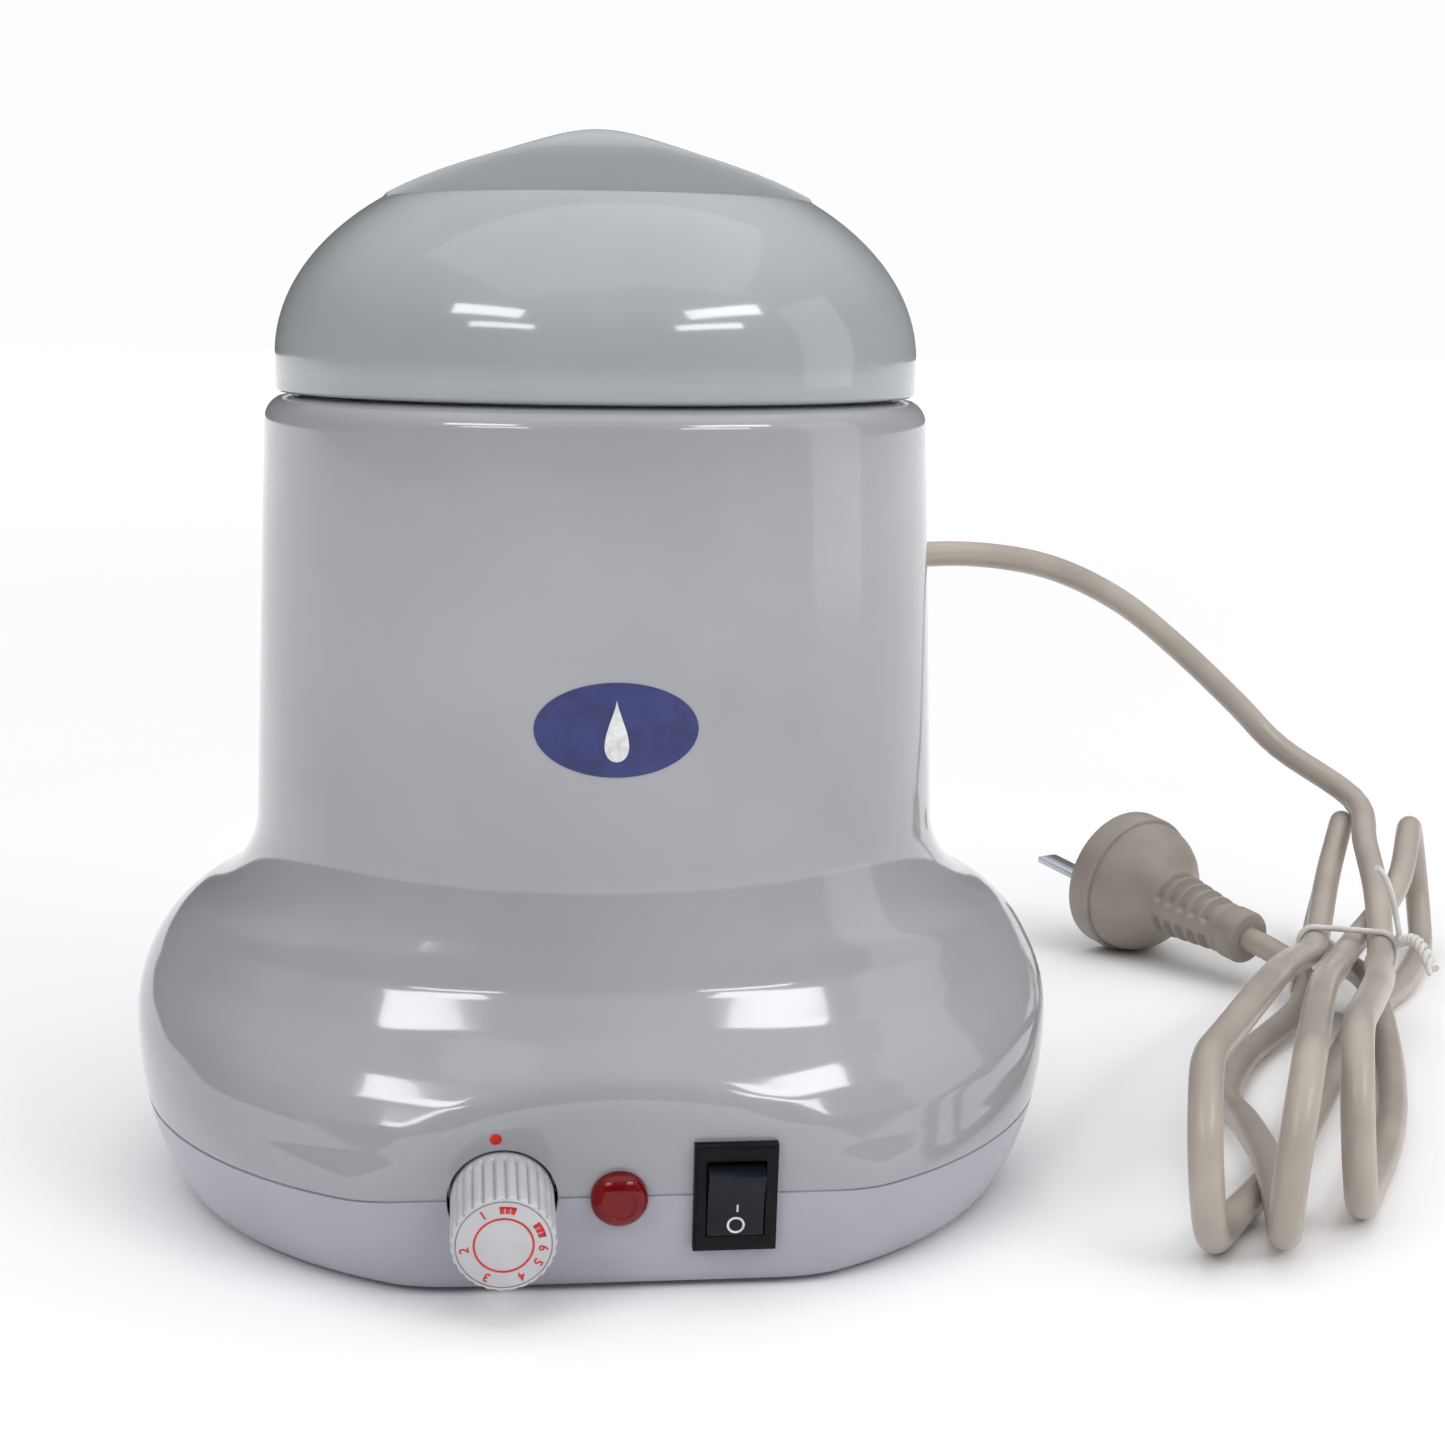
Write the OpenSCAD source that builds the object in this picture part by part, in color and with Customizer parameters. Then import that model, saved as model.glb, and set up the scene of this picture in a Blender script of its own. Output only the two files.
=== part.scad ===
// Tabletop wax heater: a bell-shaped moulded housing on a round base, a lift-off lid with a grip ridge,
// a lift-out wax pot with a bail, a heated well round it, and a control panel cut flat into the front.
// Millimetres, +Z up, origin at the centre of the face it stands on, front towards -Y.

/* [Housing] */
// Radius of the tube just under its top edge
tube_r = 65.8; // [60:0.1:80]
// Height of the tube's top edge above the table
tube_top = 157.5; // [145:0.5:200]
// Radius of the rounded top edge of the tube
tube_edge_r = 5; // [2:0.5:6]
// Wall of the housing, the base and the lid
wall = 2.5; // [1.5:0.1:3]
// Largest radius of the skirt
skirt_r = 93; // [88:0.5:100]
// Height of the skirt's widest line
skirt_z = 34; // [30:1:38]
// Depth of the rounded shoulder, inwards
shoulder_w = 21; // [17:0.5:25]
// Height of the rounded shoulder above the widest line
shoulder_h = 26; // [22:0.5:31]
// Radius of the hollow curve between the shoulder and the tube
flare_r = 18; // [14:0.5:22]

/* [Base] */
// Height of the split line between the base and the housing
seam_z = 19; // [16:0.5:22]
// Gap between the bottom of the base and the table
foot_gap = 1.5; // [1:0.1:3]
// Thickness of the bottom of the base
floor_t = 3; // [2.5:0.1:4]
// Radius of a rubber foot
foot_r = 7; // [5:0.5:8]
// Radius of the circle that the feet stand on
foot_circle_r = 66; // [58:1:72]
// Radius of the circle of the base screws
screw_circle_r = 78; // [74:0.5:80]
// Radius of a base screw's shank
base_screw_r = 1.6; // [1.2:0.1:2]

/* [Panel] */
// Distance of the panel from the axis, at the split line
panel_y = 79.5; // [77:0.5:83]
// Lean of the panel: its top stands further out than its foot
panel_lean = 8.5; // [4:0.5:10]
// Distance of the knob and the switch from the middle of the panel
control_x = 20.7; // [18:0.1:24]
// Radius of the knob
knob_r = 9.25; // [7:0.05:10]
// Height of the knob's face above the panel
knob_h = 15.5; // [12:0.5:18]
// Gap between the knob and its hole
knob_gap = 0.6; // [0.4:0.05:1]
// Radius of the knob's spindle
spindle_r = 3; // [2:0.1:3.5]
// Running clearance of a pin or shaft in its hole
run_gap = 0.06; // [0.02:0.01:0.09]
// Radius of the pilot lamp's lens
lens_r = 5.15; // [4:0.05:6]
// Width and height of the switch's bezel
bezel = [15, 21]; // [13:0.5:24]
// Width and height of the rocker
rocker = [10.1, 13.2]; // [8:0.1:15]
// Throw of the rocker in degrees
rocker_throw = 22; // [14:1:24]

/* [Lid] */
// Gap between the lid's rim and the tube
lid_gap = 0.5; // [0.3:0.1:1]
// Outer radius of the lid
lid_r = 63.5; // [60:0.1:65]
// Height of the lid's upright rim
rim_h = 7; // [4:0.5:10]
// Height that the dome would have without its finger scoops
dome_h = 40.9; // [36:0.1:48]
// Height that the ridge rises over the dome
ridge_rise = 3.3; // [1:0.1:6]
// Radius of the lip round the finger scoops
lip_r = 42; // [38:0.5:46]
// Height of the scoops' floor above the tube's top
scoop_floor = 28.5; // [26:0.5:32]
// Depth that the lid's inner ring reaches into the mouth
lid_ring_h = 6; // [4:0.5:8]

/* [Pot] */
// Inner radius of the wax pot
pot_r = 41.5; // [36:0.5:42]
// Wall of the pot
pot_wall = 1; // [0.8:0.1:1.5]
// Height of the underside of the pot's rim above the table
pot_rim_z = 136; // [126:0.5:138]
// Depth of the pot below its rim
pot_depth = 92; // [70:1:96]
// Air gap between the pot and the well
pot_gap = 1.5; // [1:0.1:2]
// Wall of the heated well
well_wall = 1.5; // [1:0.1:2]
// Radius of the bail's wire
bail_wire_r = 1.5; // [1:0.1:2]

/* [Cord] */
// Diameter of the mains cord
cord_d = 6.5; // [6:0.1:7.5]
// Height of the cord's exit
cord_z = 103; // [96:1:115]
// Angle of the exit round the tube, from the back towards the right
cord_angle = 29; // [20:1:40]
// Length, width and height of the tied hank
hank = [270, 40, 42]; // [20:1:330]
// Radius of the plug
plug_r = 19.3; // [17:0.1:20]

/* [Hidden] */
$fn = 96;
far = 400;

// Colours of the mouldings and metals
shell_white = [0.90, 0.90, 0.94];
lid_white = [0.86, 0.88, 0.90];
base_lilac = [0.84, 0.84, 0.90];
cord_grey = [0.80, 0.78, 0.74];
steel = [0.72, 0.73, 0.75];
alloy = [0.82, 0.83, 0.84];
brass = [0.80, 0.66, 0.32];
black = [0.06, 0.06, 0.07];

// Derived sizes
lid_z = tube_top + lid_gap;
lower_h = skirt_z + 6;
shoulder_end = 70;
mouth_r = lid_r - 4;
lid_ring_r = mouth_r - 1;
pot_out = pot_r + pot_wall;
well_r = pot_out + pot_gap;
well_out = well_r + well_wall;
well_flange_t = 1.5;
well_flange_r = well_out + 11;
ledge_top = pot_rim_z - well_flange_t;
ledge_r = well_out + 1.5;
pot_rim_r = pot_out + 7;
pot_floor_z = pot_rim_z - pot_depth;
bail_z = pot_rim_z + 4.5;
bail_r = pot_out + 0.5;
ear_x = bail_r + 3;
ear_t = 1.5;
band_t = 2;
band_z = pot_floor_z + 12;
band_h = 48;
sleeve_t = 3;
sleeve_gap = 6;
base_top = foot_gap + floor_t;
screw_angles = [45, 135, 225, 315];
foot_angles = [20, 160, 205, 335];
panel_hole_depth = wall + 6;
lens_hole_r = lens_r - 0.7;
switch_body_size = [bezel.x - 2, bezel.y - 2];
board_z = -8;

// ---- Shapes shared by several pieces ----

// Points of an ellipse arc round (cr, cz), n steps from angle a to angle b
function arc(cr, cz, w, h, a, b, n = 12) =
    [for (i = [0:n]) let (t = a + (b - a) * i / n) [cr + w * cos(t), cz + h * sin(t)]];

// Centre and foot of the hollow curve that runs from the shoulder up into the tube
function shoulder_c() = skirt_r - shoulder_w;
function flare_n() = let (v = [shoulder_h * cos(shoulder_end), shoulder_w * sin(shoulder_end)]) v / norm(v);
function flare_c() = [shoulder_c() + shoulder_w * cos(shoulder_end), skirt_z + shoulder_h * sin(shoulder_end)]
    + flare_r * flare_n();

// Outline of the body's side, shrunk by t, from z0 up to the tube's top edge
function side(t, z0) = concat(
    [for (p = arc(shoulder_c(), skirt_z, shoulder_w - t, lower_h, -90, 0, 24)) if (p.y > z0 + 0.2) p],
    arc(shoulder_c(), skirt_z, shoulder_w - t, shoulder_h - t, 3, shoulder_end, 14),
    [for (i = [1:11]) let (a = atan2(-flare_n().y, -flare_n().x) + 360
            - (atan2(-flare_n().y, -flare_n().x) + 360 - 180) * i / 11)
        flare_c() + (flare_r + t) * [cos(a), sin(a)]]);

function tube_foot_r() = flare_c().x - flare_r;
function tube_r_at(z) = tube_foot_r()
    + (tube_r - tube_foot_r()) * (z - flare_c().y) / (tube_top - tube_edge_r - flare_c().y);
function side_r_at(z) = shoulder_c() + shoulder_w * sqrt(1 - pow((skirt_z - z) / lower_h, 2));

// Solid of revolution of the body, shrunk by t, from z0 up to z1 with its top edge rounded by e
module body_solid(t, z0, z1, e) {
    rotate_extrude($fn = 180)
        polygon(concat([[0, z0], [side_r_at(z0) - t, z0]], side(t, z0),
            arc(tube_r - t - e, z1 - e, e, e, 0, 90, 8), [[0, z1]]));
}

// The lower apron over the panel: a second surface of revolution whose axis lies further back
apron_back = 20;
module apron_solid(t) {
    front = [[112, -far], [112, seam_z], [107.5, seam_z + 8], [106.2, seam_z + 13], [103.8, seam_z + 17.5],
        [101.2, seam_z + 21.5], [96.4, seam_z + 28], [92.2, seam_z + 35], [89.6, seam_z + 43],
        [88.6, seam_z + 52], [88.6, far]];
    translate([0, apron_back, 0])
        rotate_extrude($fn = 180)
            polygon(concat([[0, -far]], [for (p = front) [p.x - t, p.y]], [[0, far]]));
}

// Everything behind the panel's plane, moved t inwards
module behind_panel(t) {
    translate([0, -panel_y, seam_z])
        rotate([90 + panel_lean, 0, 0])
            translate([-far / 2, -far / 2, -far - t])
                cube([far, far, far]);
}

module cut_body(t, z0, z1, e) {
    intersection() {
        body_solid(t, z0, z1, e);
        apron_solid(t);
        behind_panel(t);
    }
}

// Puts children on the panel: X right, Y up the panel, Z straight out of it
module on_panel(x = 0) {
    translate([x, -panel_y, seam_z])
        rotate([90 + panel_lean, 0, 0])
            children();
}

// The three openings of the panel, which the split line runs across
module panel_openings() {
    on_panel(-control_x)
        translate([0, 0, -panel_hole_depth])
            cylinder(r = knob_r + knob_gap, h = 2 * panel_hole_depth);
    on_panel()
        translate([0, 0, -panel_hole_depth])
            cylinder(r = lens_hole_r, h = 2 * panel_hole_depth, $fn = 48);
    on_panel(control_x)
        cube([switch_body_size.x, switch_body_size.y, 2 * panel_hole_depth], center = true);
}

// Repeats children at the four fixing angles, on a circle of radius r
module at_corners(r) {
    for (a = screw_angles)
        rotate(a)
            translate([r, 0, 0])
                children();
}

// A pan-head screw: head downwards at z = 0, shank up
module screw(r, length, head_h = 1.8) {
    cylinder(r = r, h = length, $fn = 32);
    difference() {
        translate([0, 0, -head_h])
            cylinder(r = 2 * r, h = head_h, $fn = 32);
        for (a = [0, 90])
            rotate(a)
                translate([-1.2 * r, -0.2 * r, -head_h - 1])
                    cube([2.4 * r, 0.4 * r, 1.8]);
    }
}

// A tube of radius r swept along the points p, with flat ends
function unit(v) = v / norm(v);
function along(p, i) = unit(p[min(i + 1, len(p) - 1)] - p[max(i - 1, 0)]);
function frames(p, i = 0, n = undef, acc = []) = i == len(p) ? acc :
    let (t = along(p, i),
        a = n == undef ? (abs(t.z) < 0.9 ? [0, 0, 1] : [1, 0, 0]) : n,
        m = unit(a - (a * t) * t))
    frames(p, i + 1, m, concat(acc, [[m, cross(t, m)]]));
function spline_point(a, b, c, d, t) =
    0.5 * ((2 * b) + (c - a) * t + (2 * a - 5 * b + 4 * c - d) * t * t + (3 * b - 3 * c + d - a) * t * t * t);
function smooth(p, k) = concat([for (i = [0:len(p) - 2], s = [0:k - 1])
    spline_point(p[max(i - 1, 0)], p[i], p[i + 1], p[min(i + 2, len(p) - 1)], s / k)], [p[len(p) - 1]]);
module swept_tube(p, r, sides) {
    f = frames(p);
    n = len(p);
    points = [for (i = [0:n - 1], k = [0:sides - 1])
        p[i] + r * (cos(360 * k / sides) * f[i][0] + sin(360 * k / sides) * f[i][1])];
    walls = [for (i = [0:n - 2], k = [0:sides - 1]) let (j = (k + 1) % sides)
        [i * sides + k, (i + 1) * sides + k, (i + 1) * sides + j, i * sides + j]];
    ends = [[for (k = [0:sides - 1]) k], [for (k = [sides - 1:-1:0]) (n - 1) * sides + k]];
    polyhedron(points = points, faces = concat(walls, ends), convexity = 6);
}

// ---- Housing and base ----

module housing() {
    color(shell_white) {
        difference() {
            union() {
                difference() {
                    cut_body(0, seam_z, tube_top, tube_edge_r);
                    translate([0, 0, -0.01])
                        cut_body(wall, seam_z, tube_top - wall, tube_edge_r - wall);
                }
                funnel();
                intersection() {
                    at_corners(screw_circle_r)
                        translate([0, 0, seam_z - 10])
                            cylinder(r = 4, h = 60, $fn = 32);
                    union() {
                        cut_body(0.5, seam_z, tube_top - 1, tube_edge_r);
                        translate([0, 0, seam_z - 10])
                            cylinder(r = skirt_r - 8, h = 10.5);
                    }
                }
            }
            translate([0, 0, ledge_top])
                cylinder(r = well_flange_r + 0.3, h = far);
            translate([0, 0, ledge_top - 2 * wall])
                cylinder(r = ledge_r, h = far);
            mouth_cut();
            panel_openings();
            at_corners(screw_circle_r)
                translate([0, 0, seam_z - 11])
                    cylinder(r = base_screw_r, h = 14, $fn = 32);
            well_screw_places()
                translate([0, 0, -wall - 1])
                    cylinder(r = 1.25, h = wall + 2, $fn = 32);
            gland_hole(cord_d / 2 + 1.5);
        }
    }
}

// Moulded ring inside the mouth: it guides the lid, slopes inwards and carries the well
module funnel() {
    rotate_extrude()
        polygon([[ledge_r - 1, ledge_top - wall], [well_flange_r + 2, ledge_top - wall],
            [mouth_r + wall, tube_top - 12], [tube_r - 1, tube_top - 8], [tube_r - 1, tube_top - 5],
            [mouth_r - 1, tube_top - 1], [ledge_r - 1, ledge_top]]);
}

module mouth_cut() {
    rotate_extrude()
        polygon([[0, tube_top + 1], [0, ledge_top], [well_flange_r + 0.3, ledge_top],
            [well_flange_r + 0.3, ledge_top + 3], [mouth_r, tube_top - lid_ring_h - 3],
            [mouth_r, tube_top - 1.5], [mouth_r + 0.8, tube_top + 1]]);
}

module base_shell() {
    color(base_lilac) {
        difference() {
            union() {
                difference() {
                    base_block(0, foot_gap);
                    base_block(wall, base_top);
                }
                at_corners(screw_circle_r)
                    translate([0, 0, foot_gap + 1])
                        cylinder(r = 4.5, h = seam_z - 10 - foot_gap - 1, $fn = 32);
                foot_places()
                    translate([0, 0, foot_gap + 1])
                        cylinder(r = foot_r + 2, h = floor_t, $fn = 48);
                posts();
            }
            panel_openings();
            at_corners(screw_circle_r) {
                translate([0, 0, -1])
                    cylinder(r = base_screw_r + 0.2, h = seam_z, $fn = 32);
                translate([0, 0, -1])
                    cylinder(r = 2 * base_screw_r + 0.4, h = foot_gap + 3, $fn = 32);
            }
            foot_places()
                translate([0, 0, -1])
                    cylinder(r = foot_r + 0.2, h = foot_gap + 2.5, $fn = 48);
            vents();
            post_holes();
        }
    }
}

module base_block(t, z0) {
    intersection() {
        rotate_extrude($fn = 180)
            polygon(concat([[0, z0], [side_r_at(z0) - t - (t > 0 ? 0 : 1.2), z0]],
                t > 0 ? [] : [[side_r_at(z0 + 1.2), z0 + 1.2]],
                [for (i = [1:8]) let (z = z0 + 1.2 + (seam_z - z0 - 1.2) * i / 8) [side_r_at(z) - t, z]],
                [[side_r_at(seam_z) - t, seam_z + (t > 0 ? 1 : 0)], [0, seam_z + (t > 0 ? 1 : 0)]]));
        apron_solid(t);
        behind_panel(t);
    }
}

// Cooling slots in the bottom, in two rows across
module vents() {
    for (sx = [-1, 1], k = [-3:3])
        translate([sx * 20, k * 7, 0])
            linear_extrude(3 * base_top, center = true)
                stadium(22, 3);
}

module stadium(length, width) {
    square([length - width, width], center = true);
    for (s = [-1, 1])
        translate([s * (length - width) / 2, 0])
            circle(d = width, $fn = 24);
}

module foot_places() {
    for (a = foot_angles)
        rotate(a)
            translate([foot_circle_r, 0, 0])
                children();
}

module foot(k) {
    color([0.25, 0.25, 0.26])
        rotate(foot_angles[k])
            translate([foot_circle_r, 0, 0])
                rotate_extrude($fn = 48)
                    polygon([[0, 0.6], [foot_r - 3, 0.6], [foot_r - 2.6, 0], [foot_r - 0.8, 0], [foot_r, 0.8],
                        [foot_r, foot_gap + 1.5], [0, foot_gap + 1.5]]);
}

module base_screws() {
    color(steel)
        at_corners(screw_circle_r)
            translate([0, 0, foot_gap + 2])
                screw(base_screw_r, seam_z - foot_gap + 0.5);
}

module rating_plate() {
    color("silver")
        translate([0, 42, foot_gap - 0.3])
            linear_extrude(0.3)
                square([40, 18], center = true);
}

// ---- Heated well ----

module well_screw_places() {
    for (a = [0, 90, 180, 270])
        rotate(a + 45)
            translate([well_flange_r - 3, 0, ledge_top])
                children();
}

module heating_well() {
    color(alloy)
        difference() {
            rotate_extrude()
                polygon([[0, pot_floor_z - 3], [well_out - 3, pot_floor_z - 3], [well_out, pot_floor_z],
                    [well_out, ledge_top], [well_flange_r, ledge_top], [well_flange_r, pot_rim_z],
                    [well_r, pot_rim_z], [well_r, pot_floor_z + 0.7], [well_r - 2.5, pot_floor_z - 1.5],
                    [0, pot_floor_z - 1.5]]);
            well_screw_places()
                translate([0, 0, -1])
                    cylinder(r = 1.4, h = 4, $fn = 32);
        }
}

module well_screws() {
    color(steel)
        well_screw_places()
            translate([0, 0, well_flange_t])
                mirror([0, 0, 1])
                    screw(1.25, well_flange_t + wall, 1.2);
}

module heater_band() {
    color([0.62, 0.56, 0.44])
        translate([0, 0, band_z])
            difference() {
                union() {
                    cylinder(r = well_out + band_t, h = band_h);
                    for (s = [-1, 1])
                        translate([s * 3.5 - 0.75, well_out, 8])
                            cube([1.5, band_t + 9, 32]);
                }
                translate([0, 0, -1])
                    cylinder(r = well_out, h = band_h + 2);
                translate([-2.75, 0, -1])
                    cube([5.5, well_out + 20, band_h + 2]);
                translate([-10, well_out + 7, 24])
                    rotate([0, 90, 0])
                        cylinder(r = 1.6, h = 20, $fn = 32);
            }
}

module heater_clamp_screw() {
    color(steel)
        translate([0, well_out + 7, band_z + 24]) {
            translate([4.25, 0, 0])
                rotate([0, -90, 0])
                    screw(1.5, 13);
            translate([-6.75, 0, 0])
                rotate([0, 90, 0])
                    difference() {
                        cylinder(r = 3.2, h = 2.5, $fn = 6);
                        translate([0, 0, -1])
                            cylinder(r = 1.5, h = 5, $fn = 32);
                    }
        }
}

module insulation_sleeve() {
    color([0.86, 0.84, 0.78])
        translate([0, 0, band_z - 6])
            difference() {
                cylinder(r = well_out + sleeve_gap + sleeve_t, h = band_h + 12);
                translate([0, 0, -1])
                    cylinder(r = well_out + sleeve_gap, h = band_h + 14);
                translate([-12, 0, -1])
                    cube([24, far, band_h + 14]);
            }
}

// ---- Wax pot and bail ----

module wax_pot() {
    color(alloy)
        difference() {
            rotate_extrude()
                polygon([[0, pot_floor_z], [pot_out - 4, pot_floor_z], [pot_out - 1.2, pot_floor_z + 1.2],
                    [pot_out, pot_floor_z + 4], [pot_out, pot_rim_z], [pot_rim_r, pot_rim_z],
                    [pot_rim_r, pot_rim_z + pot_wall], [pot_r + 0.6, pot_rim_z + pot_wall],
                    [pot_r, pot_rim_z + pot_wall - 0.5], [pot_r, pot_floor_z + 4.2],
                    [pot_r - 1.1, pot_floor_z + 2], [pot_r - 3.2, pot_floor_z + pot_wall],
                    [0, pot_floor_z + pot_wall]]);
            ear_rivet_places()
                translate([0, 0, -2])
                    cylinder(r = 1, h = 6, $fn = 32);
        }
}

module ear_rivet_places() {
    for (sx = [-1, 1], sy = [-1, 1])
        translate([sx * (ear_x - 1.9), sy * 7.5, pot_rim_z + pot_wall])
            children();
}

// Two bent lugs on the pot's rim, each drilled for the end of the bail
module pot_ears() {
    color(steel)
        difference() {
            for (s = [-1, 1])
                scale([s, 1, 1]) {
                    translate([ear_x, 0, pot_rim_z + pot_wall])
                        rotate([90, 0, 90])
                            linear_extrude(ear_t)
                                ear_outline();
                    translate([ear_x - 3.4, -9.5, pot_rim_z + pot_wall])
                        cube([3.4 + ear_t, 19, 0.9]);
                }
            translate([-far / 2, 0, bail_z])
                rotate([0, 90, 0])
                    cylinder(r = bail_wire_r + run_gap, h = far, $fn = 48);
            ear_rivet_places()
                translate([0, 0, -2])
                    cylinder(r = 1, h = 6, $fn = 32);
        }
}

module ear_outline() {
    up = bail_z - pot_rim_z - pot_wall;
    intersection() {
        union() {
            translate([0, up])
                circle(r = bail_wire_r + 2.2, $fn = 48);
            translate([-bail_wire_r - 2.2, 0])
                square([2 * (bail_wire_r + 2.2), up]);
        }
        translate([-10, 0])
            square([20, 20]);
    }
}

module ear_rivets() {
    color(steel)
        ear_rivet_places() {
            translate([0, 0, -pot_wall])
                cylinder(r = 1, h = pot_wall + 0.9, $fn = 32);
            translate([0, 0, 0.9])
                rotate_extrude($fn = 32)
                    polygon([[0, 0], [1.5, 0], [1.1, 0.6], [0, 0.9]]);
        }
}

// Half hoop of wire lying folded over the front of the rim, its ends turned out through the ears
module bail() {
    color(steel)
        translate([0, 0, bail_z]) {
            rotate([0, 0, 180])
                rotate_extrude(angle = 180, $fn = 120)
                    translate([bail_r, 0])
                        circle(r = bail_wire_r, $fn = 48);
            for (s = [-1, 1])
                translate([s * (bail_r - bail_wire_r), 0, 0])
                    rotate([0, s * 90, 0])
                        cylinder(r = bail_wire_r, h = ear_x - bail_r + bail_wire_r + ear_t + 0.8, $fn = 48);
        }
}

// ---- Lid ----

dome_z = lid_z + rim_h;
scoop_z = tube_top + scoop_floor;

function dome_at(r, t) = dome_z + (dome_h - t) * sqrt(max(0, 1 - pow(r / (lid_r - t), 2)));

module dome(t, z0) {
    rotate_extrude($fn = 180)
        polygon(concat([[0, z0], [lid_r - t - (t > 0 ? 0 : 0.8), z0], [lid_r - t, z0 + 0.8]],
            arc(0, dome_z, lid_r - t, dome_h - t, 0, 90, 40)));
}

// Bowl that forms both finger scoops, grown by t
module scoop(t) {
    lip_z = dome_at(lip_r, 0);
    rotate_extrude($fn = 120)
        polygon(concat([[0, lip_z + 20], [0, scoop_z - t]],
            arc(lip_r - 10.5, scoop_z + 7 - t, 8 + t, 7, -90, -8, 8),
            [[lip_r - 0.6 + t, lip_z - 0.3], [lip_r + 0.6 + t, lip_z + 20]]));
}

// Grip ridge between the scoops: a bell curve seen from the front, a flared bar seen from the side
function ridge_top(x, t) = dome_at(abs(x), t) + ridge_rise * exp(-pow(x / 15, 2));
module ridge(t, z0) {
    reach = lip_r + 2;
    intersection() {
        rotate([90, 0, 0])
            linear_extrude(2 * lid_r, center = true)
                polygon(concat([[-reach, z0]], [for (i = [0:44]) let (x = -reach + 2 * reach * i / 44)
                    [x, ridge_top(x, t)]], [[reach, z0]]));
        rotate([90, 0, 90])
            linear_extrude(2 * reach, center = true)
                polygon(concat(ridge_flank(t, z0, 1), ridge_flank(t, z0, -1)));
    }
}
function ridge_flank(t, z0, s) = let (k = [[22, z0], [22, scoop_z - t], [18, scoop_z + 1.2 - t],
        [13.5, scoop_z + 4.2 - t], [10.2, scoop_z + 9 - t], [8.3, scoop_z + 15], [7, scoop_z + 20],
        [4, scoop_z + 23.6 - t]])
    [for (i = s > 0 ? [0:7] : [7:-1:0]) [s * (k[i].x - t), k[i].y]];

module lid() {
    color(lid_white) {
        difference() {
            union() {
                difference() {
                    dome(0, lid_z);
                    scoop(0);
                }
                ridge(0, scoop_z - 1);
                translate([0, 0, lid_z - lid_ring_h])
                    cylinder(r = lid_ring_r, h = lid_ring_h + 1);
            }
            difference() {
                dome(wall, lid_z + 2);
                scoop(wall);
            }
            ridge(wall, scoop_z - 2 * wall);
            translate([0, 0, lid_z - lid_ring_h - 1])
                cylinder(r = lid_ring_r - 2, h = lid_ring_h + 4);
        }
    }
}

module lid_seal() {
    color([0.75, 0.75, 0.74])
        rotate_extrude()
            polygon([[lid_ring_r, lid_z - 0.35], [lid_ring_r + 0.7, lid_z - 0.35], [lid_ring_r + 0.7, lid_z],
                [lid_ring_r, lid_z]]);
}

// ---- Thermostat and knob ----

module thermostat() {
    color([0.30, 0.30, 0.32])
        on_panel(-control_x) {
            translate([-12, -11, board_z - 15.5])
                cube([24, 24, 14]);
            for (s = [-1, 1])
                translate([s * 6, 9, board_z - 22])
                    cube([4.8, 0.8, 13], center = true);
        }
}

module thermostat_bushing() {
    color(brass)
        on_panel(-control_x)
            difference() {
                union() {
                    translate([0, 0, board_z - 1.5])
                        cylinder(r = 4.5, h = 5, $fn = 48);
                    translate([0, 0, board_z])
                        cylinder(r = 6.9, h = 2, $fn = 6);
                }
                translate([0, 0, board_z - 2])
                    cylinder(r = spindle_r + run_gap, h = 10, $fn = 48);
            }
}

// Plate that carries the thermostat, standing on two posts of the base
module thermostat_bracket() {
    color(steel)
        difference() {
            union() {
                on_panel(-control_x)
                    translate([-13, -14.6, board_z - 1.5])
                        cube([26, 27.1, 1.5]);
                translate([-control_x - 12, -panel_y + 8, base_top + 1])
                    cube([24, 12, 1.5]);
            }
            on_panel(-control_x)
                translate([0, 0, board_z - 3])
                    cylinder(r = 4.5, h = 5, $fn = 48);
            bracket_screw_places()
                translate([0, 0, -4])
                    cylinder(r = 1.5, h = 8, $fn = 32);
        }
}

module bracket_screw_places() {
    for (s = [-1, 1])
        translate([-control_x + s * 9, -panel_y + 16, base_top + 2.5])
            children();
}

module bracket_screws() {
    color(steel)
        bracket_screw_places()
            mirror([0, 0, 1])
                screw(1.5, 3.4);
}

// Sensing tube from the thermostat up to a bulb held against the well
module capillary() {
    start = [-control_x, -panel_y + 26.5, seam_z - 2];
    bulb_r = 1.7;
    bulb = (well_out + band_t + bulb_r + 0.1) * [cos(204), sin(204), 0] + [0, 0, band_z + 1.5];
    path = [start, start + [0, 5, 2], [-30, -44, 28], [-42, -34, 33], bulb - [0, 0, 14],
        bulb - [0, 0, 7], bulb];
    color([0.72, 0.45, 0.30]) {
        swept_tube(smooth(path, 3), 0.9, 8);
        translate(bulb)
            cylinder(r = bulb_r, h = 34, $fn = 32);
    }
}

module knob_spindle() {
    color(steel)
        on_panel(-control_x)
            translate([0, 0, board_z - 1.5])
                cylinder(r = spindle_r, h = knob_h - 3 - board_z + 1.5, $fn = 48);
}

// Ribbed knob: its lower part turns inside the panel's hole
module knob() {
    color([0.93, 0.93, 0.94])
        on_panel(-control_x)
            difference() {
                union() {
                    translate([0, 0, -wall - 0.5])
                        cylinder(r = knob_r, h = wall + 2);
                    translate([0, 0, 1])
                        linear_extrude(knob_h - 2)
                            difference() {
                                circle(r = knob_r);
                                for (i = [0:26])
                                    rotate(360 / 27 * i + 360 / 54)
                                        translate([knob_r + 0.25, 0])
                                            circle(r = 0.7, $fn = 16);
                            }
                    translate([0, 0, knob_h - 1])
                        cylinder(r1 = knob_r - 0.6, r2 = knob_r - 1.4, h = 1);
                }
                translate([0, 0, -wall - 1])
                    cylinder(r = spindle_r, h = knob_h - 3 + wall + 1, $fn = 48);
            }
}

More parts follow.
